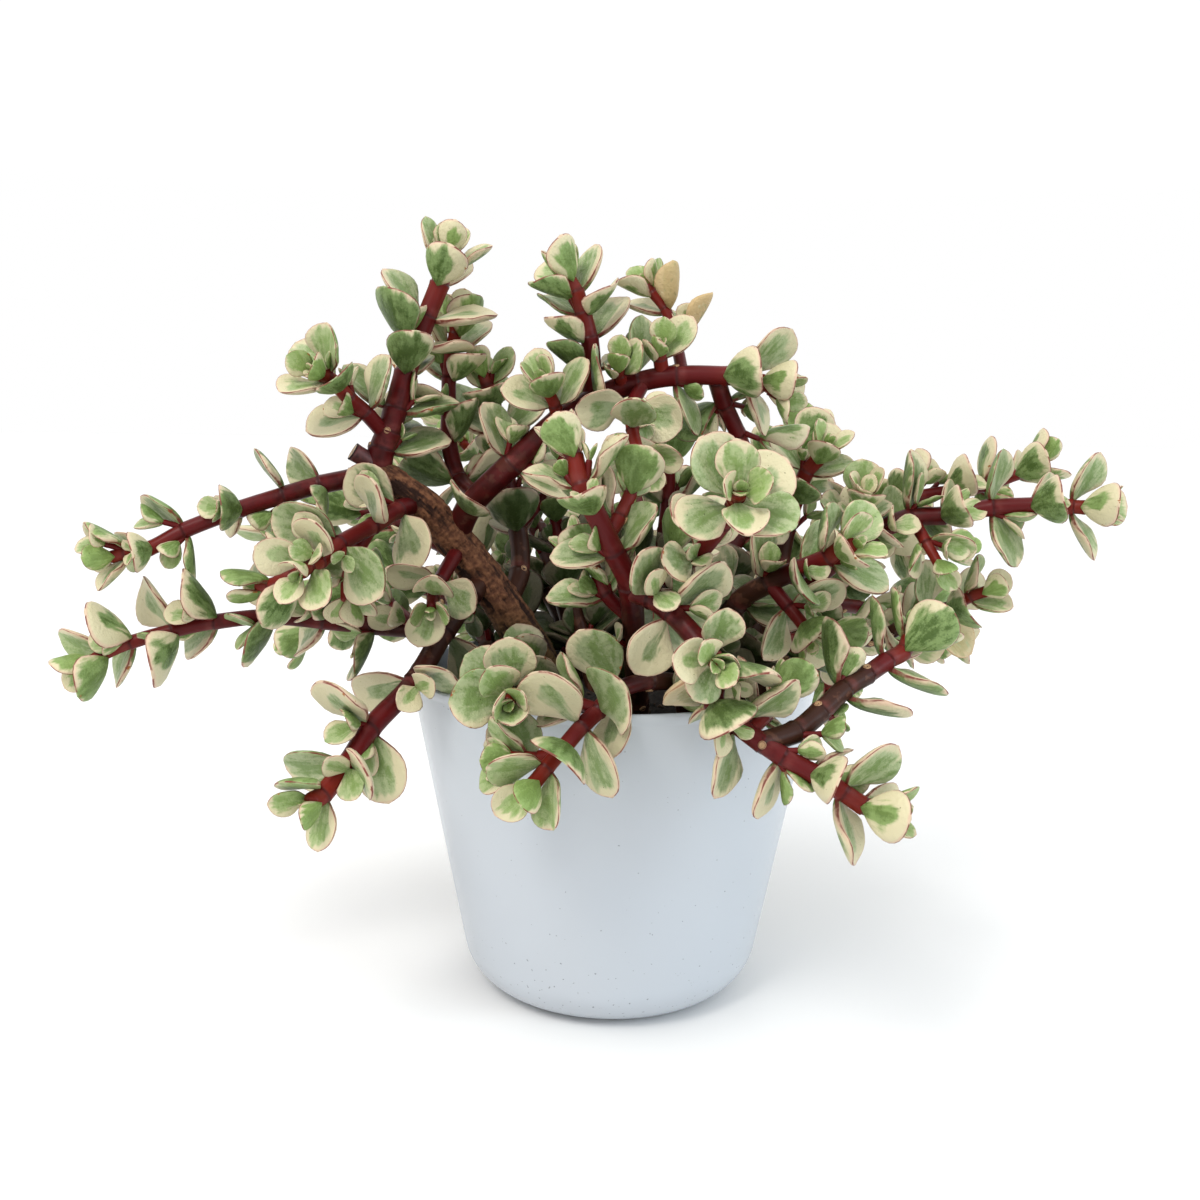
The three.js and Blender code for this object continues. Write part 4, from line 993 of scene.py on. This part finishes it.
def leaf_paint():
    """Green down the middle, cream towards the rim with streaks along the leaf, and a thin
    red-brown line at the rim. Leaves deep inside the bush are darkened with painted shade."""
    paint = Paint("variegated_leaf", Roughness=0.45, Specular_IOR_Level=0.22)
    across, along = paint.uv()
    rim = paint.value("edge")
    under = paint.value("under").ease(0.1, 0.9)
    chance = paint.value("chance", "Vector")
    margin_chance, side_chance, yellowing = (chance.part(index) for index in range(3))
    age = paint.value("chance", "Alpha")
    middle = across - 0.5
    fan = middle / (along + 0.3)

    def streaks(across_scale, along_scale, detail):
        fanned = paint.vector(fan * across_scale, along * along_scale, margin_chance * 90.0)
        return fanned.noise(1.0, detail) - 0.5

    broad = streaks(3.6, 1.3, 4.0)
    feather = streaks(9.0, 3.4, 5.0)
    patch = paint.noise(420.0, 3.0)
    mottle = paint.noise(2100.0)
    # from the rim inward, where the green begins
    near_foot = along.ease(0.42, 0.0) * 0.25
    spine = abs(middle).ease(0.24, 0.0) * along.ease(0.95, 0.5)
    lean = middle * (side_chance - 0.5)
    inward = rim * 0.64 + spine * 0.36 + near_foot + lean * 1.3 + broad * 1.1 + feather * 0.5
    inside = inward - (margin_chance**2.0 * 0.54 + 0.05 - under * 0.05)
    # the greens
    tone = inside * 0.9 + feather * 1.8 + (patch - 0.5) * 1.3 + (mottle - 0.5) * 0.9
    deep_share = tone.ease(-0.1, 0.8)
    green = under.mix(deep_share.mix(LEAF_PALE, LEAF_MID), deep_share.mix(LEAF_UNDER, LEAF_DEEP))
    green = (age.ease(0.35, 0.0) * 0.5).mix(green, LEAF_FRESH)
    green = (age.ease(0.3, 1.0) * 0.3).mix(green, LEAF_OLD)
    # the cream margin with its line, and what happens to a leaf
    cream = (rim + patch * 0.1).ease(0.17, 0.05).mix(CREAM, CREAM_PINK)
    shade = inside.ease(-0.13, 0.1).mix(cream, green)
    nibbled = patch.ease(0.66, 0.7) * rim.ease(0.16, 0.05) * side_chance.ease(0.7, 0.75)
    shade = nibbled.mix(shade, NIBBLE)
    line = rim.ease(0.028, 0.012) * patch.ease(0.15, 0.55)
    shade = line.mix(shade, RIM_RED)
    specks = paint.noise(1500.0, 1.0).ease(0.74, 0.78) * 0.6
    shade = specks.mix(shade, SPECK)
    # painted shade: darker, duller leaves deep inside the bush
    shade = (paint.value("shade") * 0.8).mix(shade, LEAF_PAINTED_SHADE)
    yellow = yellowing.ease(1.5, 1.9) * patch.ease(0.2, 0.45)
    paint.colour(yellow.mix(shade, YELLOW))
    paint.bump(feather * 0.9 + patch + paint.noise(900.0, 3.0) + mottle * 0.4, 0.55, 0.0005)
    return paint.material


STEM_CORK = srgb(88, 56, 42)
STEM_RED = srgb(86, 16, 18)
STEM_DARK = srgb(56, 11, 12)
STEM_TIP = srgb(110, 30, 22)
STEM_OLD = srgb(54, 29, 20)
STEM_BLOOM = srgb(120, 60, 56)
STEM_LINE = srgb(30, 8, 9)


def stem_paint():
    """Glossy maroon that is brighter at the tip, brown when old, and dusty at each joint. age also carries
    painted shade, so the stems are darker and browner deep in the bush.
    """
    paint = Paint("red_stem", Roughness=0.38, Specular_IOR_Level=0.16)
    patch = paint.noise(300.0, 3.0)
    age = paint.value("age")
    # age holds both the stem's age and painted shade deep in the bush: both darken the red and turn it
    # brown
    red = (patch * 0.6 - age * 0.8).ease(-0.3, 0.1).mix(STEM_DARK, STEM_RED)
    red = age.ease(0.16, 0.0).mix(red, STEM_TIP)
    red = age.ease(0.5, 0.95).mix(red, STEM_OLD)
    cork = paint.noise(240.0, 4.0).ease(0.56, 0.64) * age.ease(0.4, 0.75)
    red = (cork * 0.7).mix(red, STEM_CORK)
    dust = paint.value("dust") * patch.ease(0.3, 0.7)
    red = (dust * 0.5).mix(red, STEM_BLOOM)
    paint.colour((paint.value("line") * 0.6).mix(red, STEM_LINE))
    around, run = paint.uv()
    paint.bump(paint.vector(around * 14.0, run, 0.0).noise(2.0, 3.0), 0.2, 0.0003)
    return paint.material


BARK_LIGHT = srgb(122, 82, 58)
BARK_MID = srgb(80, 49, 35)
BARK_DARK = srgb(42, 24, 18)
# the olive bark low down, darkened with painted shade
BARK_LOW_SHADED = srgb(68, 56, 30)


def bark_paint():
    """Brown, darker in the cracks, and olive brown low down, where it is also darkened with painted shade.
    """
    paint = Paint("bark", Roughness=0.85, Specular_IOR_Level=0.2)
    around, run = paint.uv()
    fissures = paint.vector(around * 11.0, run * 1.6, 0.0).noise(1.0, 4.0)
    wrinkles = paint.vector(around * 3.0, run * 7.0, 5.0).noise(1.0, 4.0)
    grain = paint.noise(700.0, 5.0)
    tone = grain * 0.5 + wrinkles * 0.2 + fissures * 0.3
    shade = tone.ease(0.4, 0.62).mix(BARK_MID, BARK_LIGHT)
    # low down near the soil: the olive bark, darkened with painted shade
    low = paint.place().part(2).ease(0.128, 0.108) * 0.8
    shade = low.mix(shade, BARK_LOW_SHADED)
    crack = paint.value("high") * 0.9 + fissures * 0.9 + wrinkles * 0.4
    paint.colour(crack.ease(0.78, 1.12).mix(BARK_DARK, shade))
    paint.bump(grain + fissures + wrinkles, 0.7, 0.0009)
    return paint.material


def plain_paint(name, first, second, scale, roughness, bump):
    """Two colours in noise of the given scale."""
    paint = Paint(name, Roughness=roughness)
    grain = paint.noise(scale, 4.0)
    paint.colour(grain.ease(0.35, 0.65).mix(first, second))
    paint.bump(grain, bump, 0.0008)
    return paint.material


def pot_paint():
    """Smooth pale blue-grey glaze with a few dark specks, and a dark inside that is soil stain and painted
    shade.
    """
    paint = Paint("pot_glaze", Roughness=0.26)
    shade = paint.noise(18.0).mix(srgb(178, 183, 189), srgb(182, 189, 197))
    low = paint.place().part(2).ease(0.05, 0.0) * 0.07
    speck = (paint.noise(1300.0, 0.0) + low).ease(0.86, 0.88)
    shade = (speck * 0.7).mix(shade, srgb(110, 112, 116))
    smear = paint.noise(120.0, 4.0).ease(0.2, 0.6) * 0.3 + 0.7
    # the dark inside: soil stain and painted shade where the bush shades the inner wall
    paint.colour((paint.value("inside") * smear).mix(shade, srgb(34, 27, 22)))
    return paint.material


# ---------------------------------------------------------------- pot
POT_AROUND = 144
ARC_STEPS = 8
WALL_STEPS = 12
INNER_STEPS = 5
NECK_FROM = 0.8  # the share of the wall's height over which it draws in under the lip
NECK_DEPTH = 0.125
STAIN_AND_SHADE_HEIGHTS = (POT_HEIGHT - 0.5, POT_HEIGHT - 3)  # heights where the dark inside, soil stain and painted shade, starts and is complete


def arc(centre, radius, first, last, steps):
    """Places on a circle about centre, as radius and height, from one turn to another."""
    turns = [first + (last - first) * i / steps for i in range(steps + 1)]
    return [(centre[0] + radius * math.cos(t), centre[1] + radius * math.sin(t)) for t in turns]


def pot_profile():
    """The pot's outline from the middle of its underside, over the lip, to its inner floor."""
    quarter = math.pi / 2
    slope = math.atan((RIM_RADIUS - BASE_RADIUS) / POT_HEIGHT)
    foot = wall_radius(FOOT_ROUND) - FOOT_ROUND / math.cos(slope)
    lip = POT_HEIGHT - LIP_HEIGHT
    crest = POT_HEIGHT - LIP_ROUND
    profile = [(0, 0), (foot / 2, 0)]
    profile += arc((foot, FOOT_ROUND), FOOT_ROUND, -quarter, -slope, 3 * ARC_STEPS)
    for i in range(1, WALL_STEPS):
        z = FOOT_ROUND + (lip - LIP_PROUD - FOOT_ROUND) * i / WALL_STEPS
        profile.append((wall_radius(z) - NECK_DEPTH * smooth(NECK_FROM, 1, i / WALL_STEPS), z))
    for z in (lip - 2 * LIP_PROUD, lip - LIP_PROUD):
        profile.append((wall_radius(z) - LIP_PROUD / 2, z))
    profile.append((wall_radius(lip), lip))
    profile += arc((RIM_RADIUS - LIP_ROUND, crest), LIP_ROUND, 0, quarter, ARC_STEPS)
    profile += arc((RIM_RADIUS - WALL + LIP_ROUND, crest), LIP_ROUND, quarter, math.pi, ARC_STEPS)
    for i in range(1, INNER_STEPS + 1):
        z = crest + (FLOOR + FLOOR_SLOPE[1] - crest) * i / INNER_STEPS
        profile.append((wall_radius(z) - WALL, z))
    return profile + [(wall_radius(FLOOR) - WALL - FLOOR_SLOPE[0], FLOOR), (0, FLOOR)]


def make_pot():
    profile = pot_profile()
    heights = [z for _, z in profile]
    top = heights.index(max(heights))
    # stain: soil stain and painted shade on the inner wall
    stain_and_shade = [smooth(*STAIN_AND_SHADE_HEIGHTS, z) * (i > top) for i, z in enumerate(heights)]
    wall = Parts().add(*lathe(profile, POT_AROUND), inside=per_place(stain_and_shade, POT_AROUND))
    make_piece("pot_wall", wall, pot_paint(), "pot", "pot")


# ---------------------------------------------------------------- soil
SOIL_RINGS = 44
SOIL_AROUND = 132
SOIL_EDGE = 2  # how far under its top the soil's side ends
SOIL_SIDE_ROWS = 8
SOIL_SINK = 0.3
CRUMB = 1.3  # height of the soil's crumbs
CRUMB_SCALE = 0.35
CHIPS = 420
CHIP_SEED = 41
CHIP_REACH = 0.97  # of the soil's radius
CHIP_LIFT = 0.2
CHIP_SIZE = (0.9, 2.6)
CHIP_BREADTH = (0.5, 0.9)  # of its size
CHIP_HEIGHT = (0.3, 0.6)
CHIP_AROUND = 7
CHIP_ROWS = 4
CHIP_ROUGH = 0.16
CHIP_TILT = 0.5


def soil_height(x, y):
    """The packed soil's waves with crumbs on top."""
    wave = math.sin(0.21 * x + 1.3) * math.cos(0.17 * y) + 0.5 * math.sin(0.43 * (x - y))
    crumbs = noise.fractal(Vector((x, y, 0)) * CRUMB_SCALE, 0.8, 2.1, 4)
    return SOIL_TOP + SOIL_BUMP * wave + CRUMB * crumbs - SOIL_SINK


def make_soil():
    """A closed crumbly bed, with loose chips of bark and grit."""
    reach = wall_radius(SOIL_TOP) - WALL - GAP
    floor = FLOOR + GAP
    profile = [(0, floor), (wall_radius(FLOOR) - WALL - FLOOR_SLOPE[0] - 1, floor)]
    for z in np.linspace(FLOOR + FLOOR_SLOPE[1] + 1, SOIL_TOP - SOIL_EDGE, SOIL_SIDE_ROWS):
        profile.append((wall_radius(z) - WALL - GAP, z))
    profile += [(reach * (1 - i / SOIL_RINGS), SOIL_TOP) for i in range(SOIL_RINGS + 1)]
    points, faces = lathe(profile, SOIL_AROUND)
    for point in points:
        if point[2] >= SOIL_TOP:
            point[2] = soil_height(point[0], point[1])
    soil = plain_paint("potting_soil", srgb(12, 9, 7), srgb(34, 25, 19), 600.0, 0.95, 0.8)
    make_piece("soil_surface", Parts().add(points, faces), soil, "soil", "soil")
    random = np.random.default_rng(CHIP_SEED)
    chips = Parts()
    for _ in range(CHIPS):
        away = reach * CHIP_REACH * math.sqrt(random.uniform())
        x, y, _ = on_circle(away, random.uniform(0, 2 * math.pi), 0)
        chips.add(*pebble(random, np.array([x, y, soil_height(x, y) + CHIP_LIFT])))
    grit = plain_paint("bark_chips", srgb(36, 25, 18), srgb(96, 72, 52), 250.0, 0.9, 0.5)
    make_piece("soil_chips", chips, grit, "soil", "soil")


def pebble(random, place):
    """A small flattened lump: a coarse ball pulled out of true."""
    size = random.uniform(*CHIP_SIZE)
    shares = [1, random.uniform(*CHIP_BREADTH), random.uniform(*CHIP_HEIGHT)]
    reach = np.array(shares) * size / 2
    profile = arc((0, 0), 1, -math.pi / 2, math.pi / 2, CHIP_ROWS + 1)
    points, faces = lathe(profile, CHIP_AROUND)
    points = points * (1 + random.uniform(-CHIP_ROUGH, CHIP_ROUGH, (len(points), 1)))
    turn = Matrix.Rotation(random.uniform(0, 6.3), 3, "Z")
    turn = turn @ Matrix.Rotation(random.uniform(-CHIP_TILT, CHIP_TILT), 3, "X")
    return points * reach @ np.array(turn).T + place, faces


# ---------------------------------------------------------------- trunk
BARK_STEP = 0.7
BARK_RING = 11  # how far apart the ring marks lie
BARK_AROUND = 56
BARK_DEPTH = 0.085  # of the relief, as a share of the radius
BARK_RIDGES = 1.3  # how much each kind of relief counts
BARK_CRACKS = 0.45
BARK_FLAKES = 0.35
BARK_RINGS = 0.9
STUB_STEP = 0.8
STUB_AROUND = 24
STUB_FLARE = 0.05
CUT_FACE = [  # share of the stub's radius, height over its end, and how pale it is
    (0, -0.4, 0), (1.02, 0.05, 0), (1, 0.37, 0.05), (0.86, 0.41, 0.2), (0.8, 0.27, 1),
    (0.5, 0.23, 0.8), (0.2, 0.35, 0.6), (0.14, 0.25, 0), (0, 0.25, 0)]


def bark_relief(run, turn):
    """How far the bark stands out: long ridges that wind up the trunk, and cracks."""
    wound = turn + 0.012 * run
    ring = Vector((math.cos(wound) * 2.1, math.sin(wound) * 2.1, run * 0.035))
    ridge = noise.noise(ring)
    fine = noise.noise(Vector((ring.x * 3.2, ring.y * 3.2, run * 0.13)))
    flake = noise.noise(Vector((ring.x * 1.5, ring.y * 1.5, run * 0.4)) + Vector((7, 3, 1)))
    ringed = (run / BARK_RING + 0.9 * ridge) % 1
    crack = min(1, 3 * abs(fine)) ** 0.6 - 0.6
    relief = BARK_RIDGES * ridge + BARK_CRACKS * crack + BARK_FLAKES * flake
    return relief + BARK_RINGS * ((1 - ringed) ** 4 - 0.2)


def make_trunk(trunk, stub):
    places, directions, shares = curve_through(trunk.points, trunk.along, BARK_STEP)
    run = run_along(places)
    radii = tapered(trunk, shares)
    relief = np.array([[bark_relief(along, turn) for turn in circle(BARK_AROUND)] for along in run])
    points, faces = tube(places, directions, radii, BARK_AROUND, 1 + BARK_DEPTH * relief)
    high = np.append(relief, [0, 0]) * 0.5 + 0.5
    there_and_back = np.abs(2 * (np.arange(BARK_AROUND) / BARK_AROUND) - 1)
    bark = Parts().add(points, faces, uv=tube_uv(there_and_back, run), high=high)
    make_piece("trunk_bark", bark, bark_paint(), "bark", "trunk")
    places, directions, _ = curve_through(stub.points, stub.along, STUB_STEP)
    flare = 1 + STUB_FLARE * smooth(0.8, 1, np.linspace(0, 1, len(places)))
    radii = np.linspace(stub.radii[0], stub.radii[-1], len(places)) * flare
    skin = plain_paint("stub_skin", srgb(58, 26, 28), srgb(96, 44, 44), 260.0, 0.5, 0.3)
    wood = Parts().add(*tube(places, directions, radii, STUB_AROUND))
    make_piece("cut_stub", wood, skin, "bark", "trunk")
    make_cut_face(stub)


def make_cut_face(stub):
    """The pale, dished wood at the stub's end with its dark rim."""
    radius = stub.radii[-1] * (1 + STUB_FLARE)
    profile = [(share * radius, height) for share, height, _ in CUT_FACE]
    points, faces = lathe(profile, STUB_AROUND, stub.points[-1], axes_about(stub.along[-1]))
    pale = per_place([light for _, _, light in CUT_FACE], STUB_AROUND)
    paint = Paint("cut_wood", Roughness=0.8)
    wood = paint.noise(900.0, 3.0).mix(srgb(170, 140, 110), srgb(226, 204, 176))
    paint.colour(paint.value("pale").ease(0.2, 0.8).mix(srgb(40, 24, 22), wood))
    face = Parts().add(points, faces, pale=pale)
    make_piece("cut_face", face, paint.material, "bark", "trunk")


# ---------------------------------------------------------------- foliage
FIRST_LEAF_SEED = 500
SPROUT_AROUND = 10
SPROUT_AGE = 0.12
SPROUT_SPAN = (-0.15, 1.08)  # from inside the stem to inside its own leaves
SPROUT_SWELL = np.array([1.1, 1, 0.92, 0.9, 0.95, 0.6])  # from foot to head
SCAR_AROUND = 14
SCAR_PROFILE = [(0, -0.5), (1.0, -0.5), (1.1, 0.1), (0.9, 0.36), (0.7, 0.3), (0.35, 0.24), (0, 0.3)]


def fine_sprout(wood, blades, sprout, random):
    """A short shoot's stem and its two small leaves."""
    count = len(SPROUT_SWELL)
    reach = sprout.head - sprout.start
    places = sprout.start + np.outer(np.linspace(*SPROUT_SPAN, count), reach)
    along = unit(reach)
    radii = SPROUT_SWELL * SPROUT_RADIUS
    points, faces = tube(places, np.tile(along, (count, 1)), radii, SPROUT_AROUND)
    size = len(points)
    uv = np.stack([np.arange(size) / SPROUT_AROUND % 1, points @ along / 10], axis=1)
    age = np.full(size, SPROUT_AGE)
    wood.add(points, faces, uv=uv, age=age, line=np.zeros(size), dust=np.zeros(size))
    for small in sprout.leaves:
        fine_leaf(blades, small, random, SMALL_BLADE)


def make_scars(bare):
    """Small pale scars where leaves have fallen."""
    scars = Parts()
    for leaf in bare:
        out = unit(leaf.root - leaf.centre)
        centre = leaf.centre + out * leaf.stem.radii[leaf.node] * SLIM
        points, faces = lathe(SCAR_PROFILE, SCAR_AROUND, centre, axes_about(out))
        scars.add(points, faces, height=per_place([z for _, z in SCAR_PROFILE], SCAR_AROUND))
    paint = Paint("leaf_scar", Roughness=0.7)
    height = paint.value("height")
    worn = paint.noise(1800.0).mix(srgb(136, 96, 64), srgb(190, 158, 118))
    rim = height.ease(0.05, 0.2).mix(srgb(44, 18, 14), srgb(104, 58, 40))
    paint.colour(height.ease(0.36, 0.28).mix(rim, worn))
    make_piece("leaf_scars", scars, paint.material, "foliage")


def make_foliage(stems, leaves, sprouts):
    """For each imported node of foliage, its stems and its leaves as two finer pieces."""
    stem_material = stem_paint()
    leaf_material = leaf_paint()
    families = {}
    for stem in stems:
        if stem.node != "trunk":
            families.setdefault(stem.node, []).append(stem)
    for index, (node, family) in enumerate(families.items()):
        random = np.random.default_rng(FIRST_LEAF_SEED + index)
        wood, blades = Parts(), Parts()
        for stem in family:
            fine_stem(wood, stem)
            for leaf in [leaf for leaf in leaves if leaf.stem is stem]:
                fine_leaf(blades, leaf, random)
            for leaf in bud_leaves(stem):
                fine_leaf(blades, leaf, random, SMALL_BLADE)
            for sprout in [sprout for sprout in sprouts if sprout.stem is stem]:
                fine_sprout(wood, blades, sprout, random)
        make_piece(node + "_stem", wood, stem_material, "foliage", node)
        make_piece(node + "_leaves", blades, leaf_material, "foliage", node)


# ---------------------------------------------------------------- stage
SKY = (1.0, 1.5)  # brightness at the horizon and overhead
HORIZON = 0.15
FLOOR_HALF = 6.0  # metres
PHOTO_PX = 1200
FOCAL_PX = 1269
SENSOR = 36.0
VIEW_FROM = (-4.7, -400.0, 186.5)
VIEW_PITCH = 8.8  # degrees down
VIEW_ROLL = 0.8
LIGHTS_AT = (0, 0, 0.14)  # the point that the lights shine at, in metres
LIGHT_SIZE = 0.5


def area_light(name, place, watts, colour):
    data = bpy.data.lights.new(name, "AREA")
    data.shape = "DISK"
    data.size = LIGHT_SIZE
    data.energy = watts
    data.color = colour
    lamp = add_object(name, data)
    lamp.location = place
    lamp.rotation_euler = (Vector(LIGHTS_AT) - Vector(place)).to_track_quat("-Z", "Y").to_euler()


def make_stage():
    """A wide white floor, a white surround that grows brighter overhead, and soft lights."""
    mesh = bpy.data.meshes.new("floor")
    corners = [(x * FLOOR_HALF, y * FLOOR_HALF, 0) for x, y in ((-1, -1), (1, -1), (1, 1), (-1, 1))]
    mesh.from_pydata(corners, [], [(0, 1, 2, 3)])
    white = Paint("white_floor", Roughness=0.9, Base_Color=(0.8, 0.8, 0.8, 1.0))
    mesh.materials.append(white.material)
    floor = add_object("floor", mesh)
    world = bpy.data.worlds.new("white_surround")
    world.use_nodes = True
    sky = world.node_tree.nodes["Background"]
    sky.inputs["Color"].default_value = (1, 1, 1, 1)
    height = add_node(world.node_tree, "TexCoord", output="Generated").part(2)
    feed(sky.inputs["Strength"], height.node("MapRange", HORIZON, 1.0, *SKY))
    bpy.context.scene.world = world
    bpy.context.scene.view_settings.view_transform = "Standard"
    area_light("key_light", (-0.5, -0.8, 1.1), 9, (1.0, 0.97, 0.92))
    area_light("cool_fill", (0.9, -0.5, 0.45), 3.0, (0.68, 0.87, 1.0))


def place_camera():
    data = bpy.data.cameras.new("front_view")
    data.sensor_width = SENSOR
    data.lens = SENSOR * FOCAL_PX / PHOTO_PX
    camera = add_object("front_view", data)
    pitched = Matrix.Rotation(math.radians(90 - VIEW_PITCH), 4, "X")
    rolled = pitched @ Matrix.Rotation(math.radians(VIEW_ROLL), 4, "Z")
    camera.matrix_world = Matrix.Translation(Vector(VIEW_FROM) * MM) @ rolled
    bpy.context.scene.camera = camera


# ---------------------------------------------------------------- the whole plant
stems = read_stems(STEMS)
by_name = {stem.name: stem for stem in stems}
leaves, gaps, obstacles = grow(stems)
sprouts, bare = grow_sprouts(stems, leaves, gaps, obstacles)
make_pot()
make_soil()
make_trunk(by_name["trunk"], by_name["cut_stub"])
make_foliage(stems, leaves, sprouts)
make_scars(bare)
make_stage()
place_camera()
